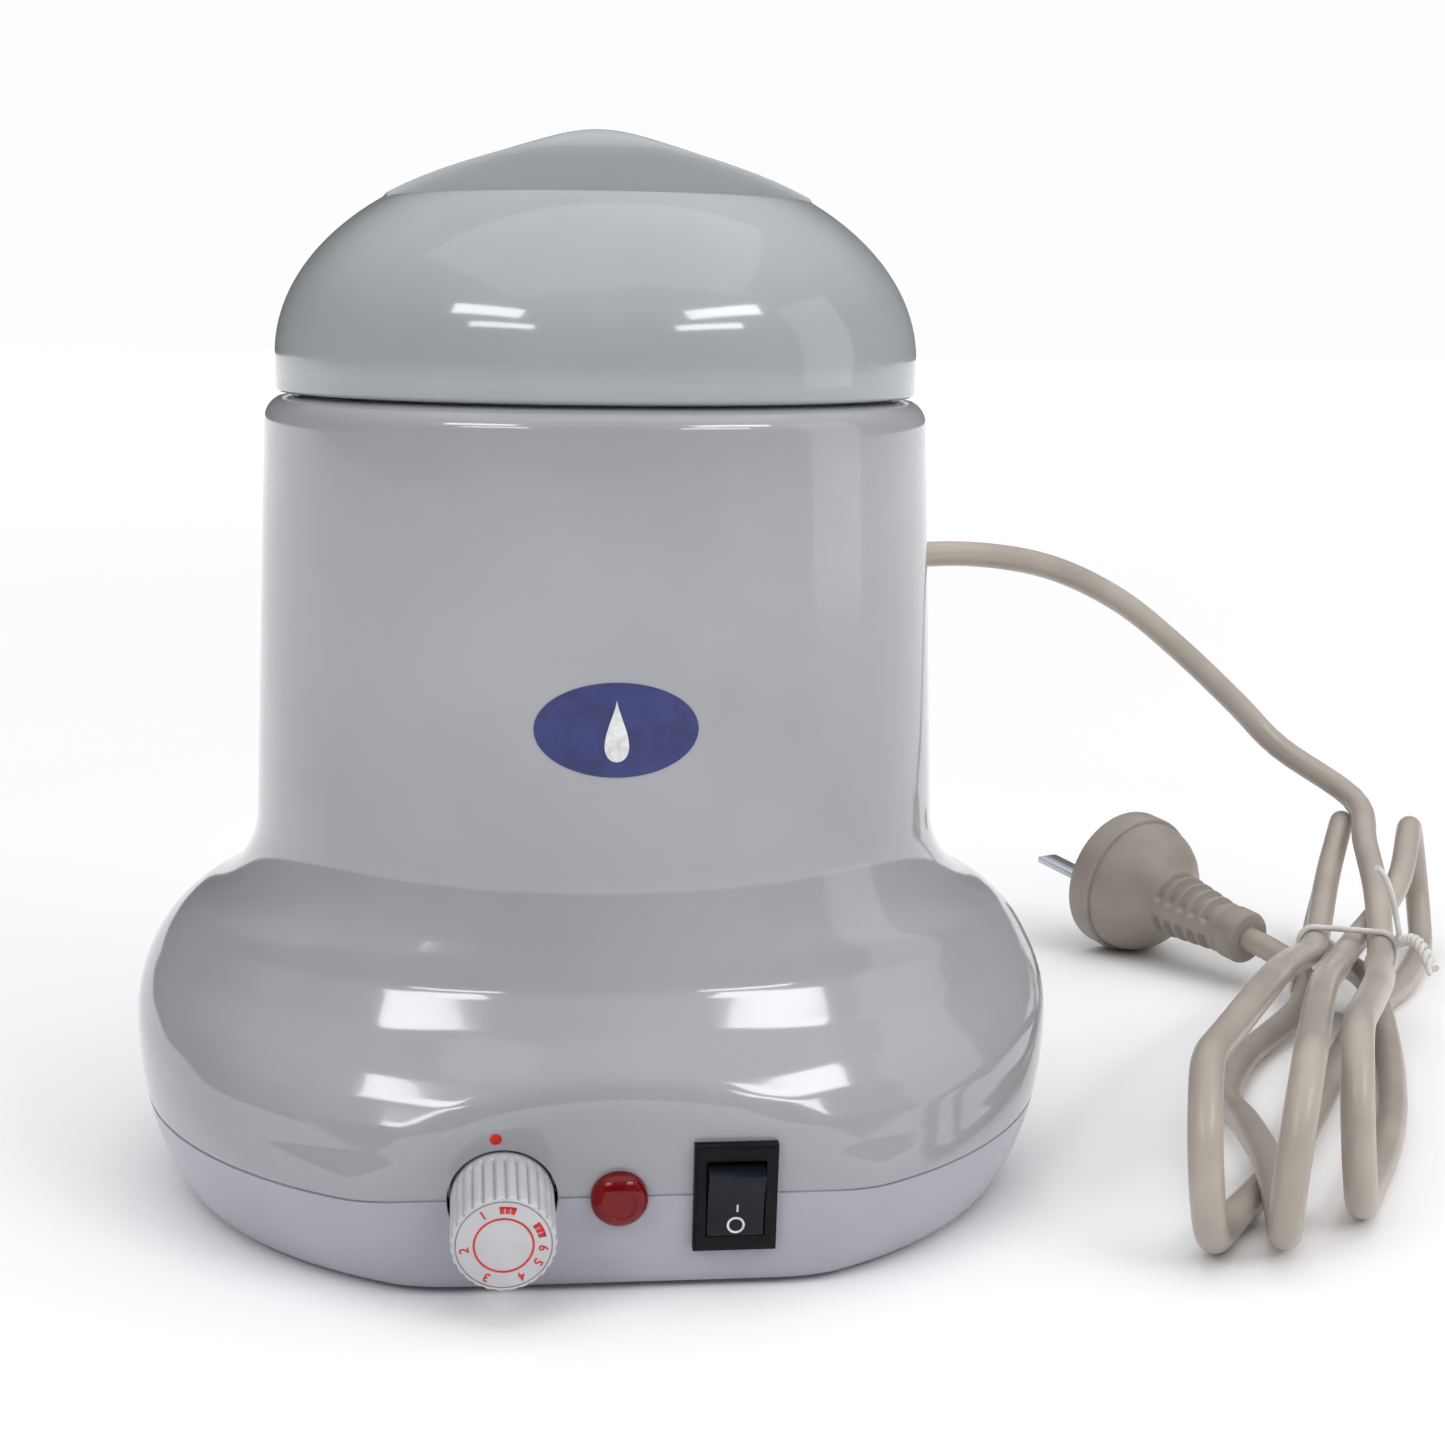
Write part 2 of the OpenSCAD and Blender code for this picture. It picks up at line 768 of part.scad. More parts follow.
// ---- Pilot lamp ----

module lamp_lens() {
    color([0.75, 0.05, 0.08])
        on_panel()
            rotate_extrude($fn = 64)
                polygon(concat([[0, 0], [lens_r, 0], [lens_r, 1.2]],
                    arc(0, 1.6, lens_r - 0.9, 2.4, 0, 90, 8)));
}

module lamp_body() {
    color([0.85, 0.84, 0.80])
        on_panel() {
            translate([0, 0, -14])
                cylinder(r = lens_hole_r, h = 14, $fn = 48);
            for (s = [-1, 1])
                translate([s * 1.8, 0, -17])
                    cube([0.8, 2.8, 6], center = true);
        }
}

module lamp_nut() {
    color(black)
        on_panel()
            translate([0, 0, -wall - 2.5])
                difference() {
                    cylinder(r = lens_hole_r + 2.4, h = 2.5, $fn = 6);
                    translate([0, 0, -1])
                        cylinder(r = lens_hole_r, h = 5, $fn = 48);
                }
}

// ---- Switch ----

rocker_pin_z = -1;
rocker_pin_r = 1.2;
rocker_gap = 0.25;
switch_depth = 14;

module switch_body() {
    color(black)
        on_panel(control_x)
            difference() {
                union() {
                    translate([-bezel.x / 2, -bezel.y / 2, 0])
                        cube([bezel.x, bezel.y, 1.6]);
                    translate([-bezel.x / 2 + 0.5, -bezel.y / 2 + 0.5, 1.6])
                        cube([bezel.x - 1, bezel.y - 1, 0.4]);
                    translate([-switch_body_size.x / 2, -switch_body_size.y / 2, -switch_depth])
                        cube([switch_body_size.x, switch_body_size.y, switch_depth]);
                }
                translate([-rocker.x / 2 - rocker_gap, -rocker.y / 2 - 0.85, -8])
                    cube([rocker.x + 2 * rocker_gap, rocker.y + 1.7, 20]);
                translate([-bezel.x, 0, rocker_pin_z])
                    rotate([0, 90, 0])
                        cylinder(r = rocker_pin_r + run_gap, h = 2 * bezel.x, $fn = 48);
            }
}

module switch_terminals() {
    color(brass)
        on_panel(control_x)
            for (y = [-5.5, 1.5])
                translate([-2.4, y, -switch_depth - 7])
                    difference() {
                        cube([4.8, 0.8, 7]);
                        translate([2.4, -1, 2])
                            rotate([-90, 0, 0])
                                cylinder(r = 0.8, h = 3, $fn = 24);
                    }
}

// Rocker with a hollow V top; at rest its upper end stands proud, which is off
module rocker() {
    half = rocker.y / 2;
    color([0.10, 0.10, 0.11])
        on_panel(control_x)
            translate([0, 0, rocker_pin_z])
                rotate([rocker_throw / 2, 0, 0]) {
                    rotate([90, 0, 90])
                        linear_extrude(rocker.x, center = true)
                            polygon([[-half, 4.3], [-half * 0.5, 3.55], [0, 3.3], [half * 0.5, 3.55],
                                [half, 4.3], [half, -0.5], [4, -3.2], [-4, -3.2], [-half, -0.5]]);
                    rotate([0, 90, 0])
                        cylinder(r = rocker_pin_r, h = switch_body_size.x - 0.4, center = true, $fn = 48);
                }
}

// ---- Wiring inside the base ----

block = [30, 18, 12];
block_at = [8, 8, base_top + 1];
earth_at = [38, 36, base_top + 2];

module posts() {
    translate([block_at.x - block.x / 2 + 2, block_at.y - 3, foot_gap + 1])
        cube([block.x - 4, 6, base_top - foot_gap]);
    bracket_screw_places()
        translate([0, 0, -1.5 - floor_t])
            cylinder(r = 3, h = floor_t, $fn = 32);
    translate([earth_at.x, earth_at.y, foot_gap + 1])
        cylinder(r = 4, h = earth_at.z - foot_gap - 1, $fn = 32);
}

module post_holes() {
    bracket_screw_places()
        translate([0, 0, -4])
            cylinder(r = 1.5, h = 8, $fn = 32);
    translate(earth_at - [0, 0, 2.4])
        cylinder(r = 1.5, h = 8, $fn = 32);
}

module terminal_block() {
    color([0.92, 0.90, 0.82])
        translate(block_at)
            difference() {
                translate([-block.x / 2, -block.y / 2, 0])
                    cube(block);
                terminal_places() {
                    translate([0, 0, 4])
                        cylinder(r = 2, h = block.z, $fn = 32);
                    translate([0, 0, 4])
                        rotate([90, 0, 0])
                            cylinder(r = 1.7, h = 2 * block.y, center = true, $fn = 32);
                }
            }
}

module terminal_places() {
    for (i = [-1:1])
        translate([9 * i, 0, 0])
            children();
}

module terminal_screws() {
    color(brass)
        translate(block_at)
            terminal_places()
                difference() {
                    translate([0, 0, 5.7])
                        cylinder(r = 2, h = 4, $fn = 32);
                    translate([-3, -0.3, 9])
                        cube([6, 0.6, 2]);
                }
}

module thermal_fuse() {
    color([0.55, 0.50, 0.42])
        translate([20, -well_out - 1.5, band_z - 14])
            rotate([0, 90, 0]) {
                cylinder(r = 2, h = 11, $fn = 32);
                translate([0, 0, -8])
                    cylinder(r = 0.5, h = 27, $fn = 24);
            }
}

module earth_tag() {
    color(brass)
        translate(earth_at)
            difference() {
                union() {
                    cylinder(r = 3.4, h = 0.8, $fn = 32);
                    translate([-14, -2, 0])
                        cube([13, 4, 0.8]);
                }
                translate([0, 0, -1])
                    cylinder(r = 1.5, h = 4, $fn = 32);
            }
}

module earth_screw() {
    color(steel)
        translate(earth_at + [0, 0, 0.8])
            mirror([0, 0, 1])
                screw(1.5, 3.2);
}

module inner_wire(path, tone) {
    color(tone)
        swept_tube(smooth(path, 3), 1.1, 8);
}

// The three cores of the mains cord run down inside the tube's wall and across the base
function core(k, rest) = concat([sheath_end + k * side_step - 0.45 * exit_way,
    sheath_end + k * side_step - 1.8 * exit_way,
    core_drop + k * side_step, core_drop + 1.7 * k * side_step - [0, 0, 55]], rest);

module wire_live() {
    inner_wire(core(1, [[34, 44, 22], [24, 28, 12], [17, 20, 9.5], [17, 17, 9.5]]), [0.45, 0.27, 0.14]);
}

module wire_neutral() {
    inner_wire(core(0, [[28, 42, 24], [17, 30, 14], [8, 21, 9.5], [8, 17, 9.5]]), [0.15, 0.30, 0.65]);
}

module wire_earth() {
    inner_wire(core(-1, [[22, 51, 24], [17, 47, 12], [17, 40, 8], [20, 36, 7], [23.8, 36, 7]]),
        [0.35, 0.60, 0.20]);
}

module wire_switch() {
    inner_wire([[17, -1, 9.5], [17, -8, 9.5], [24, -24, 11], [26, -44, 14], [21, -53, 15]],
        [0.45, 0.27, 0.14]);
}

module wire_lamp() {
    inner_wire([[8, -1, 9.5], [8, -8, 9.5], [5, -26, 12], [3, -44, 15], [2, -59.5, 15.5]],
        [0.15, 0.30, 0.65]);
}

module wire_heater() {
    inner_wire([[-1, 17, 9.5], [-1, 22, 9.5], [-14, 26, 12], [-30, 14, 14], [-34, -10, 20], [-16, -40, 34],
        [2, -47, 40], [12, -47, 42]], [0.80, 0.10, 0.10]);
}

// ---- Mains cord, on the table to the right of the heater ----

// Puts children at the cord's exit: Z straight out of the tube's wall
module at_exit() {
    rotate(90 - cord_angle)
        translate([exit_r, 0, cord_z])
            rotate([0, 90, 0])
                children();
}
exit_r = tube_r_at(cord_z);
boot_length = 26;
gland_in = wall + 5;

module gland_hole(r) {
    at_exit()
        cylinder(r = r, h = 30, center = true, $fn = 48);
}

// Tapered bending relief with a flange outside the wall
module cord_gland() {
    color(cord_grey)
        at_exit()
            difference() {
                union() {
                    translate([0, 0, -gland_in])
                        cylinder(r = cord_d / 2 + 1.5, h = gland_in + 1, $fn = 48);
                    translate([0, 0, 0.3])
                        cylinder(r = cord_d / 2 + 4, h = 2, $fn = 48);
                    translate([0, 0, 2])
                        cylinder(r1 = cord_d / 2 + 2.4, r2 = cord_d / 2 + 0.8, h = boot_length - 2, $fn = 48);
                }
                translate([0, 0, -20])
                    cylinder(r = cord_d / 2, h = 60, $fn = 48);
                for (i = [0:4])
                    translate([0, 0, 6 + 3.6 * i])
                        difference() {
                            cylinder(r = 12, h = 1.4, $fn = 48);
                            cylinder(r = cord_d / 2 + 1.4 - 0.18 * i, h = 1.4, $fn = 48);
                        }
            }
}

module gland_nut() {
    color(black)
        at_exit()
            translate([0, 0, -wall - 4])
                difference() {
                    cylinder(r = cord_d / 2 + 4.5, h = 2, $fn = 6);
                    translate([0, 0, -1])
                        cylinder(r = cord_d / 2 + 1.5, h = 4, $fn = 48);
                }
}

// Route of the cord from the mouth of the bending relief down to the hank
exit_point = [sin(cord_angle), cos(cord_angle), 0] * exit_r + [0, 0, cord_z];
exit_way = [sin(cord_angle), cos(cord_angle), 0];
sheath_end = exit_point - gland_in * exit_way;
side_step = 2.3 * [cos(cord_angle), -sin(cord_angle), 0];
core_drop = sheath_end - 3.3 * exit_way - [0, 0, 6];
lead_route = [sheath_end, exit_point + boot_length * exit_way, exit_point + (boot_length + 8) * exit_way,
    [62, 107, 110], [81, 119, 112.5], [104, 129, 112.5], [128, 140, 108], [150, 149, 98],
    [169, 155, 84], [187, 157, 68], [199, 154, 56], [204.5, 151.5, hank.z + 8],
    [206, 150, hank.z + 4], [206, 150, hank.z + 2], [206, 150, hank.z]];
hank_at = [176, 38, 0];
hank_turn = 67.5;
plug_face = [155, 153, plug_r + 0.4];
plug_way = unit([45, -88, -13]);
plug_length = 50;
tail_start = plug_face + plug_length * plug_way;
tail_bend = tail_start + 5 * plug_way;
hank_side = [-sin(hank_turn), cos(hank_turn), 0];
tail_gap = (tail_bend - hank_at) * hank_side - hank.y / 2;

module cord_lead() {
    color(cord_grey)
        swept_tube(smooth(lead_route, 4), cord_d / 2, 10);
}

// The hank's outer shape: a bar with round ends lying on the table
module cord_hank() {
    color(cord_grey)
        translate(hank_at)
            rotate(hank_turn)
                linear_extrude(hank.z)
                    stadium(hank.x, hank.y);
}

module cord_tail() {
    color(cord_grey)
        swept_tube([tail_start, tail_start + 2.5 * plug_way, tail_bend - 0.2 * tail_gap * hank_side,
            tail_bend - 0.6 * tail_gap * hank_side, tail_bend - tail_gap * hank_side], cord_d / 2, 10);
}

module cord_tie() {
    color("white")
        translate(hank_at)
            rotate(hank_turn)
                translate([42, 0, 0])
                    difference() {
                        translate([-2, -hank.y / 2 - 1, 0])
                            cube([4, hank.y + 2, hank.z + 1]);
                        translate([-3, -hank.y / 2, -1])
                            cube([6, hank.y, hank.z + 1]);
                    }
}

// Puts children on the plug's axis: Z from the pin face towards the cord
module at_plug() {
    translate(plug_face)
        rotate([0, acos(plug_way.z), atan2(plug_way.y, plug_way.x)])
            children();
}

module plug_body() {
    color(cord_grey)
        at_plug()
            rotate_extrude($fn = 96)
                polygon(concat([[0, 0], [plug_r - 0.8, 0], [plug_r, 0.8], [plug_r, 9]],
                    arc(plug_r - 8, 9, 8, 7, 10, 80, 6),
                    [[9.5, 19], [8.2, 24], [7.6, 30], [6.4, 44], [6.8, 46], [6.8, plug_length - 1],
                        [6, plug_length], [0, plug_length]]));
}

module plug_pins() {
    color(brass)
        at_plug() {
            for (s = [-1, 1])
                rotate(s * 30)
                    translate([s * 7.9, 3.5, -17])
                        translate([-0.8, -3.15, 0])
                            cube([1.6, 6.3, 17]);
            translate([-0.8, -13.5, -20])
                cube([1.6, 6.3, 20]);
        }
}

housing();
base_shell();
foot(0);  // foot_1
foot(1);  // foot_2
foot(2);  // foot_3
foot(3);  // foot_4
base_screws();
rating_plate();
heating_well();
well_screws();
heater_band();
heater_clamp_screw();
insulation_sleeve();
wax_pot();
pot_ears();
ear_rivets();
bail();
lid();
lid_seal();
thermostat();
thermostat_bushing();
thermostat_bracket();
bracket_screws();
capillary();
knob_spindle();
knob();
lamp_lens();
lamp_body();
lamp_nut();
switch_body();
switch_terminals();
rocker();
terminal_block();
terminal_screws();
thermal_fuse();
earth_tag();
earth_screw();
wire_live();
wire_neutral();
wire_earth();
wire_switch();
wire_lamp();
wire_heater();
cord_gland();
gland_nut();
cord_lead();
cord_hank();
cord_tail();
cord_tie();
plug_body();
plug_pins();
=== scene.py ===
# Tabletop wax heater: the moulded shells, the controls, the pot and the tied cord, with their finishes,
# the lights and the camera. Metres, +Z up, front towards -Y; sizes are typed in millimetres and scaled by MM.
import math

import bmesh
import bpy
import numpy as np
from mathutils import Matrix, Vector


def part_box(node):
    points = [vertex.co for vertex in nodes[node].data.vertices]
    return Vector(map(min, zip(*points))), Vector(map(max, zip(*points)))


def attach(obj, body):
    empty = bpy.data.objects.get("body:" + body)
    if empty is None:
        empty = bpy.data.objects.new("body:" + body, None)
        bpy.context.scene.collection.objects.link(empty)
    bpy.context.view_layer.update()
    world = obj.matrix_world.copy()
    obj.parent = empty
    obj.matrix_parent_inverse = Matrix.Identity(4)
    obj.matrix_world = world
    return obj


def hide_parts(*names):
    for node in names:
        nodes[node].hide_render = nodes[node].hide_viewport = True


bl_info = {
    "name": "Tabletop wax heater",
    "version": (1, 0, 0),
    "blender": (4, 5, 0),
    "location": "View3D > Sidebar > Wax heater",
    "description": "Builds the wax heater's shells, controls, pot, cord and finishes on its measured frame",
    "category": "Object",
}

MM = 0.001
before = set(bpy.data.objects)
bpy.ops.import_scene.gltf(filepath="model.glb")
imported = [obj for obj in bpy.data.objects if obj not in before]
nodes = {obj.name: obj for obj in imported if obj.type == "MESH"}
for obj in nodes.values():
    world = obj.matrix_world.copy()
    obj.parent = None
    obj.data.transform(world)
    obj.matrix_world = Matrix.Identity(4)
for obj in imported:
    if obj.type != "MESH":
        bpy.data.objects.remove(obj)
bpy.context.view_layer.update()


def span(node):
    """Lowest and highest corner of a frame node in millimetres."""
    low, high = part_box(node)
    return [v / MM for v in low], [v / MM for v in high]


# Heights and radii that the new pieces share with the frame
TUBE_TOP = span("housing")[1][2]
SEAM_Z = span("base_shell")[1][2]
LID_R = span("lid")[1][0]
PANEL_LEAN = math.radians(8.5)
PANEL_Y = 79.5
CONTROL_X = 20.7
RIM_TOP = 165.0  # where the lid's upright rim turns into its dome
PRINT = 0.05  # thickness of a printed mark
LIP_R = 42.0  # lip round the finger scoops


# ---- Colour and node helpers ----


def linear(code):
    """Turns an sRGB hex colour into the linear RGBA that a socket takes."""
    parts = [int(code[i : i + 2], 16) / 255 for i in (1, 3, 5)]
    return tuple(c / 12.92 if c <= 0.04045 else ((c + 0.055) / 1.055) ** 2.4 for c in parts) + (1.0,)


def add(tree, kind, values=None, links=None, **settings):
    """Adds one node with its settings, its sockets' values and its incoming links."""
    node = tree.nodes.new("ShaderNode" + kind)
    for key, value in settings.items():
        setattr(node, key, value)
    for key, value in (values or {}).items():
        node.inputs[key].default_value = value
    for key, socket in (links or {}).items():
        tree.links.new(socket, node.inputs[key])
    return node


def blank(name):
    """An empty node material and its tree; the shader and the output are added by the caller."""
    finish = bpy.data.materials.new(name)
    finish.use_nodes = True
    finish.node_tree.nodes.clear()
    return finish, finish.node_tree


def per_metre(size_mm):
    """Noise scale that gives features of that size."""
    return 1000.0 / size_mm


def moulded(name, colour, shade, rough, peel=0.02, peel_mm=1.6, cloud_mm=45.0, coat=0.0, specks=0.0, ior=1.53,
            shine=0.5):
    """An injection-moulded plastic: faint cloudy shade, a fine orange-peel skin and rubbed patches in its gloss."""
    finish, tree = blank(name)
    place = add(tree, "TexCoord").outputs["Object"]
    cloud = add(tree, "TexNoise", {"Scale": per_metre(cloud_mm), "Detail": 3.0, "Roughness": 0.55}, {"Vector": place})
    tone = add(tree, "ValToRGB", None, {"Fac": cloud.outputs["Fac"]})
    tone.color_ramp.elements[0].position = 0.36
    tone.color_ramp.elements[0].color = linear(shade)
    tone.color_ramp.elements[1].position = 0.62
    tone.color_ramp.elements[1].color = linear(colour)
    base = tone.outputs["Color"]
    if specks:
        spot = add(tree, "TexVoronoi", {"Scale": per_metre(9.0), "Randomness": 1.0}, {"Vector": place})
        near = add(tree, "MapRange", {"From Min": 0.03, "From Max": 0.05, "To Min": specks, "To Max": 0.0},
                   {"Value": spot.outputs["Distance"]})
        base = add(tree, "MixRGB", {"Color2": linear("#6f6a60")},
                   {"Fac": near.outputs["Result"], "Color1": base}).outputs["Color"]
    rub = add(tree, "TexNoise", {"Scale": per_metre(14.0), "Detail": 5.0, "Roughness": 0.65}, {"Vector": place})
    gloss = add(tree, "MapRange", {"From Min": 0.3, "From Max": 0.7, "To Min": rough * 0.9, "To Max": rough * 1.15},
                {"Value": rub.outputs["Fac"]})
    skin = add(tree, "TexNoise", {"Scale": per_metre(peel_mm), "Detail": 2.0}, {"Vector": place})
    bump = add(tree, "Bump", {"Strength": peel, "Distance": 0.0004}, {"Height": skin.outputs["Fac"]})
    shader = add(tree, "BsdfPrincipled", {"IOR": ior, "Coat Weight": coat, "Coat Roughness": 0.04,
                                          "Specular IOR Level": shine},
                 {"Base Color": base, "Roughness": gloss.outputs["Result"], "Normal": bump.outputs["Normal"]})
    add(tree, "OutputMaterial", None, {"Surface": shader.outputs["BSDF"]})
    return finish


def clear_moulded(name, colour, shade):
    """A tinted transparent plastic: light goes some way in, and the polished face mirrors the windows."""
    finish, tree = blank(name)
    place = add(tree, "TexCoord").outputs["Object"]
    swirl = add(tree, "TexNoise", {"Scale": per_metre(4.0), "Detail": 2.0}, {"Vector": place})
    tone = add(tree, "MixRGB", {"Color1": linear(shade), "Color2": linear(colour)}, {"Fac": swirl.outputs["Fac"]})
    skin = add(tree, "TexNoise", {"Scale": per_metre(1.2)}, {"Vector": place})
    relief = add(tree, "Bump", {"Strength": 0.02, "Distance": 0.0002}, {"Height": skin.outputs["Fac"]})
    gloss = add(tree, "MapRange", {"To Min": 0.05, "To Max": 0.11}, {"Value": swirl.outputs["Fac"]})
    shader = add(tree, "BsdfPrincipled", {"IOR": 1.5, "Transmission Weight": 0.2, "Specular IOR Level": 0.3},
                 {"Base Color": tone.outputs["Color"], "Roughness": gloss.outputs["Result"],
                  "Normal": relief.outputs["Normal"]})
    add(tree, "OutputMaterial", None, {"Surface": shader.outputs["BSDF"]})
    return finish


def metal(name, colour, shade, rough, grain_mm=0.6, stretch=(1.0, 1.0, 1.0), bump=0.08, stain_mm=12.0):
    """A bare or plated metal: a stained tone over a grain drawn out in the direction it was worked."""
    finish, tree = blank(name)
    place = add(tree, "TexCoord").outputs["Object"]
    drawn = add(tree, "Mapping", {"Scale": stretch}, {"Vector": place})
    grain = add(tree, "TexNoise", {"Scale": per_metre(grain_mm), "Detail": 3.0}, {"Vector": drawn.outputs["Vector"]})
    stain = add(tree, "TexNoise", {"Scale": per_metre(stain_mm), "Detail": 4.0}, {"Vector": place})
    tone = add(tree, "MixRGB", {"Color1": linear(colour), "Color2": linear(shade)}, {"Fac": stain.outputs["Fac"]})
    gloss = add(tree, "MapRange", {"From Min": 0.25, "From Max": 0.75, "To Min": rough * 0.7, "To Max": rough * 1.3},
                {"Value": grain.outputs["Fac"]})
    relief = add(tree, "Bump", {"Strength": bump, "Distance": 0.0001}, {"Height": grain.outputs["Fac"]})
    shader = add(tree, "BsdfPrincipled", {"Metallic": 1.0},
                 {"Base Color": tone.outputs["Color"], "Roughness": gloss.outputs["Result"],
                  "Normal": relief.outputs["Normal"]})
    add(tree, "OutputMaterial", None, {"Surface": shader.outputs["BSDF"]})
    return finish


def woven(name, colour, shade, thread_mm, rough, bump=0.6):
    """A fibrous or woven sheet: crossing threads in relief, darker between them."""
    finish, tree = blank(name)
    place = add(tree, "TexCoord").outputs["Object"]
    across = add(tree, "TexWave", {"Scale": per_metre(thread_mm) / 6.28, "Distortion": 1.5, "Detail": 2.0},
                 {"Vector": place}, bands_direction="X")
    upward = add(tree, "TexWave", {"Scale": per_metre(thread_mm) / 6.28, "Distortion": 1.5, "Detail": 2.0},
                 {"Vector": place}, bands_direction="Z")
    cross = add(tree, "Math", None, {0: across.outputs["Fac"], 1: upward.outputs["Fac"]}, operation="MULTIPLY")
    tone = add(tree, "MixRGB", {"Color1": linear(shade), "Color2": linear(colour)}, {"Fac": cross.outputs["Value"]})
    relief = add(tree, "Bump", {"Strength": bump, "Distance": 0.0003}, {"Height": cross.outputs["Value"]})
    shader = add(tree, "BsdfPrincipled", {"Roughness": rough},
                 {"Base Color": tone.outputs["Color"], "Normal": relief.outputs["Normal"]})
    add(tree, "OutputMaterial", None, {"Surface": shader.outputs["BSDF"]})
    return finish


FINISHES = {}


def finish(name):
    """The named finish, made once. Each entry says what the real material gives the eye."""
    if name in FINISHES:
        return FINISHES[name]
    made = {
        # ABS moulded in a polished tool: lilac white, deep gloss with sharp window reflections
        "abs_gloss_lilac_white": lambda n: moulded(n, "#9fa0a5", "#98999e", 0.11, 0.010, 1.8, 60, 0.45),
        # The lid is a greyer batch of the same ABS, with a trace of green
        "abs_gloss_grey_white": lambda n: moulded(n, "#9ea4a5", "#979d9e", 0.10, 0.010, 1.8, 60, 0.45),
        # The base shell comes from another tool: a little duller and bluer than the housing
        "abs_satin_lilac": lambda n: moulded(n, "#a9a8b3", "#a1a0ac", 0.2, 0.012, 1.4, 40, 0.2),
        # Knob: white ABS with a fine spark-eroded skin
        "abs_satin_white": lambda n: moulded(n, "#c2c1c4", "#b8b7ba", 0.33, 0.04, 0.7, 12),
        # Flexible PVC of the lead: soft warm grey, satin, with dirt specks picked up in handling
        "pvc_warm_grey": lambda n: moulded(n, "#b2a89d", "#a3998e", 0.34, 0.04, 1.2, 26, 0.1, 0.35, 1.54),
        # Plug overmoulded in a harder PVC, a shade darker and more matte
        "pvc_moulded_grey": lambda n: moulded(n, "#9d958b", "#90887d", 0.4, 0.05, 0.9, 18, 0.0, 0.2, 1.54),
        # Nylon of the snap-in switch: near black, even satin
        "nylon_black": lambda n: moulded(n, "#0a0b11", "#06070b", 0.38, 0.05, 0.8, 8, shine=0.15),
        # The rocker is a lighter, bluer copy of the bezel's nylon: painted sheen for the light its upturned face
        # catches
        "nylon_black_rubbed": lambda n: moulded(n, "#161b23", "#10141b", 0.34, 0.05, 0.8, 6, shine=0.2),
        "nylon_natural": lambda n: moulded(n, "#e4dfcc", "#d6cfb8", 0.4, 0.04, 0.9, 9),
        # Phenolic of the thermostat: brown black with a dry face
        "phenolic_brown_black": lambda n: moulded(n, "#2b2627", "#1d191a", 0.5, 0.08, 0.6, 6),
        # Black rubber feet: no shine, a grain from the mould
        "rubber_black": lambda n: moulded(n, "#232324", "#19191a", 0.75, 0.2, 0.5, 10, 0.0, 0.3),
        # Silicone: soft, milky and slightly dusty
        "silicone_milky": lambda n: moulded(n, "#c7c7c2", "#b9b9b3", 0.5, 0.04, 1.2, 14, 0.0, 0.2, 1.41),
        "ceramic_fuse_white": lambda n: moulded(n, "#efece2", "#e2ddcf", 0.3, 0.05, 0.5, 5, 0.3),
        "label_satin_silver": lambda n: metal(n, "#b9bbbd", "#a9abad", 0.42, 0.5, (1, 14, 1), 0.05),
        # Zinc plating: pale steel with a faint bluish stain
        "steel_zinc_plated": lambda n: metal(n, "#c3c7cc", "#a8adb4", 0.3, 0.5, (1, 1, 1), 0.08),
        # Aluminium spun on a chuck: rings run round the axis, so the grain is long across and short upwards
        "aluminium_spun": lambda n: metal(n, "#d2d3d4", "#c4c6c8", 0.3, 0.45, (0.12, 0.12, 1.6), 0.05, 20),
        "brass_turned": lambda n: metal(n, "#c9a557", "#a98542", 0.28, 0.5, (1, 1, 5), 0.08, 8),
        "copper_drawn": lambda n: metal(n, "#c07a52", "#9a5b3b", 0.3, 0.5, (1, 1, 4), 0.06, 8),
        # Mica sheet band: brown flakes with a woven backing
        "mica_sheet_brown": lambda n: woven(n, "#a48a5c", "#7d6742", 1.6, 0.55, 0.35),
        # Needled glass wool: off-white matted threads
        "glass_wool_needled": lambda n: woven(n, "#e6e2cf", "#bdb79c", 1.9, 0.9, 1.0),
        "pvc_wire_brown": lambda n: moulded(n, "#6d4226", "#5a351d", 0.35, 0.03, 1.0, 12),
        "pvc_wire_blue": lambda n: moulded(n, "#26539b", "#1d4382", 0.35, 0.03, 1.0, 12),
        "pvc_wire_green": lambda n: moulded(n, "#4f8b2c", "#b8b232", 0.35, 0.03, 1.0, 5),
        "pvc_wire_red": lambda n: moulded(n, "#b1241c", "#951b15", 0.35, 0.03, 1.0, 12),
        # Polycarbonate lens: deep clear red, wet-looking, lit by what shines through it
        "polycarbonate_red": lambda n: clear_moulded(n, "#8c0007", "#6a0005"),
        # Pad-printed inks: thin, flat colour with worn, slightly broken cover
        "ink_red": lambda n: moulded(n, "#d2201c", "#b81512", 0.34, 0.1, 0.3, 2.2),
        "ink_white": lambda n: moulded(n, "#e6e6e6", "#c9c9ca", 0.4, 0.1, 0.3, 2.2),
        "ink_navy": lambda n: moulded(n, "#2d3470", "#232960", 0.3, 0.1, 0.4, 4.0),
        # Twist tie: white paper-thin PVC over a wire
        "tie_white_pvc": lambda n: moulded(n, "#dfddd8", "#cfccc6", 0.4, 0.1, 0.5, 6.0),
    }[name](name)
    FINISHES[name] = made
    return made


# ---- Mesh helpers ----


def piece(name, points, faces, look, body, stands_for=(), smooth=35.0, scale=MM):
    """A mesh object from points in millimetres; it rides on its body and may stand for frame nodes."""
    mesh = bpy.data.meshes.new(name)
    mesh.from_pydata([Vector(p) * scale for p in points], [], faces)
    mesh.validate()
    obj = bpy.data.objects.new(name, mesh)
    bpy.context.scene.collection.objects.link(obj)
    dress(obj, look, smooth)
    settle(obj, body, stands_for)
    return obj


def dress(obj, look, smooth=35.0):
    """Gives an object one finish and smooth shading that breaks at sharp edges."""
    obj.data.materials.clear()
    obj.data.materials.append(finish(look))
    if obj.type == "MESH":
        obj.data.shade_smooth()
        obj.data.set_sharp_from_angle(angle=math.radians(smooth))


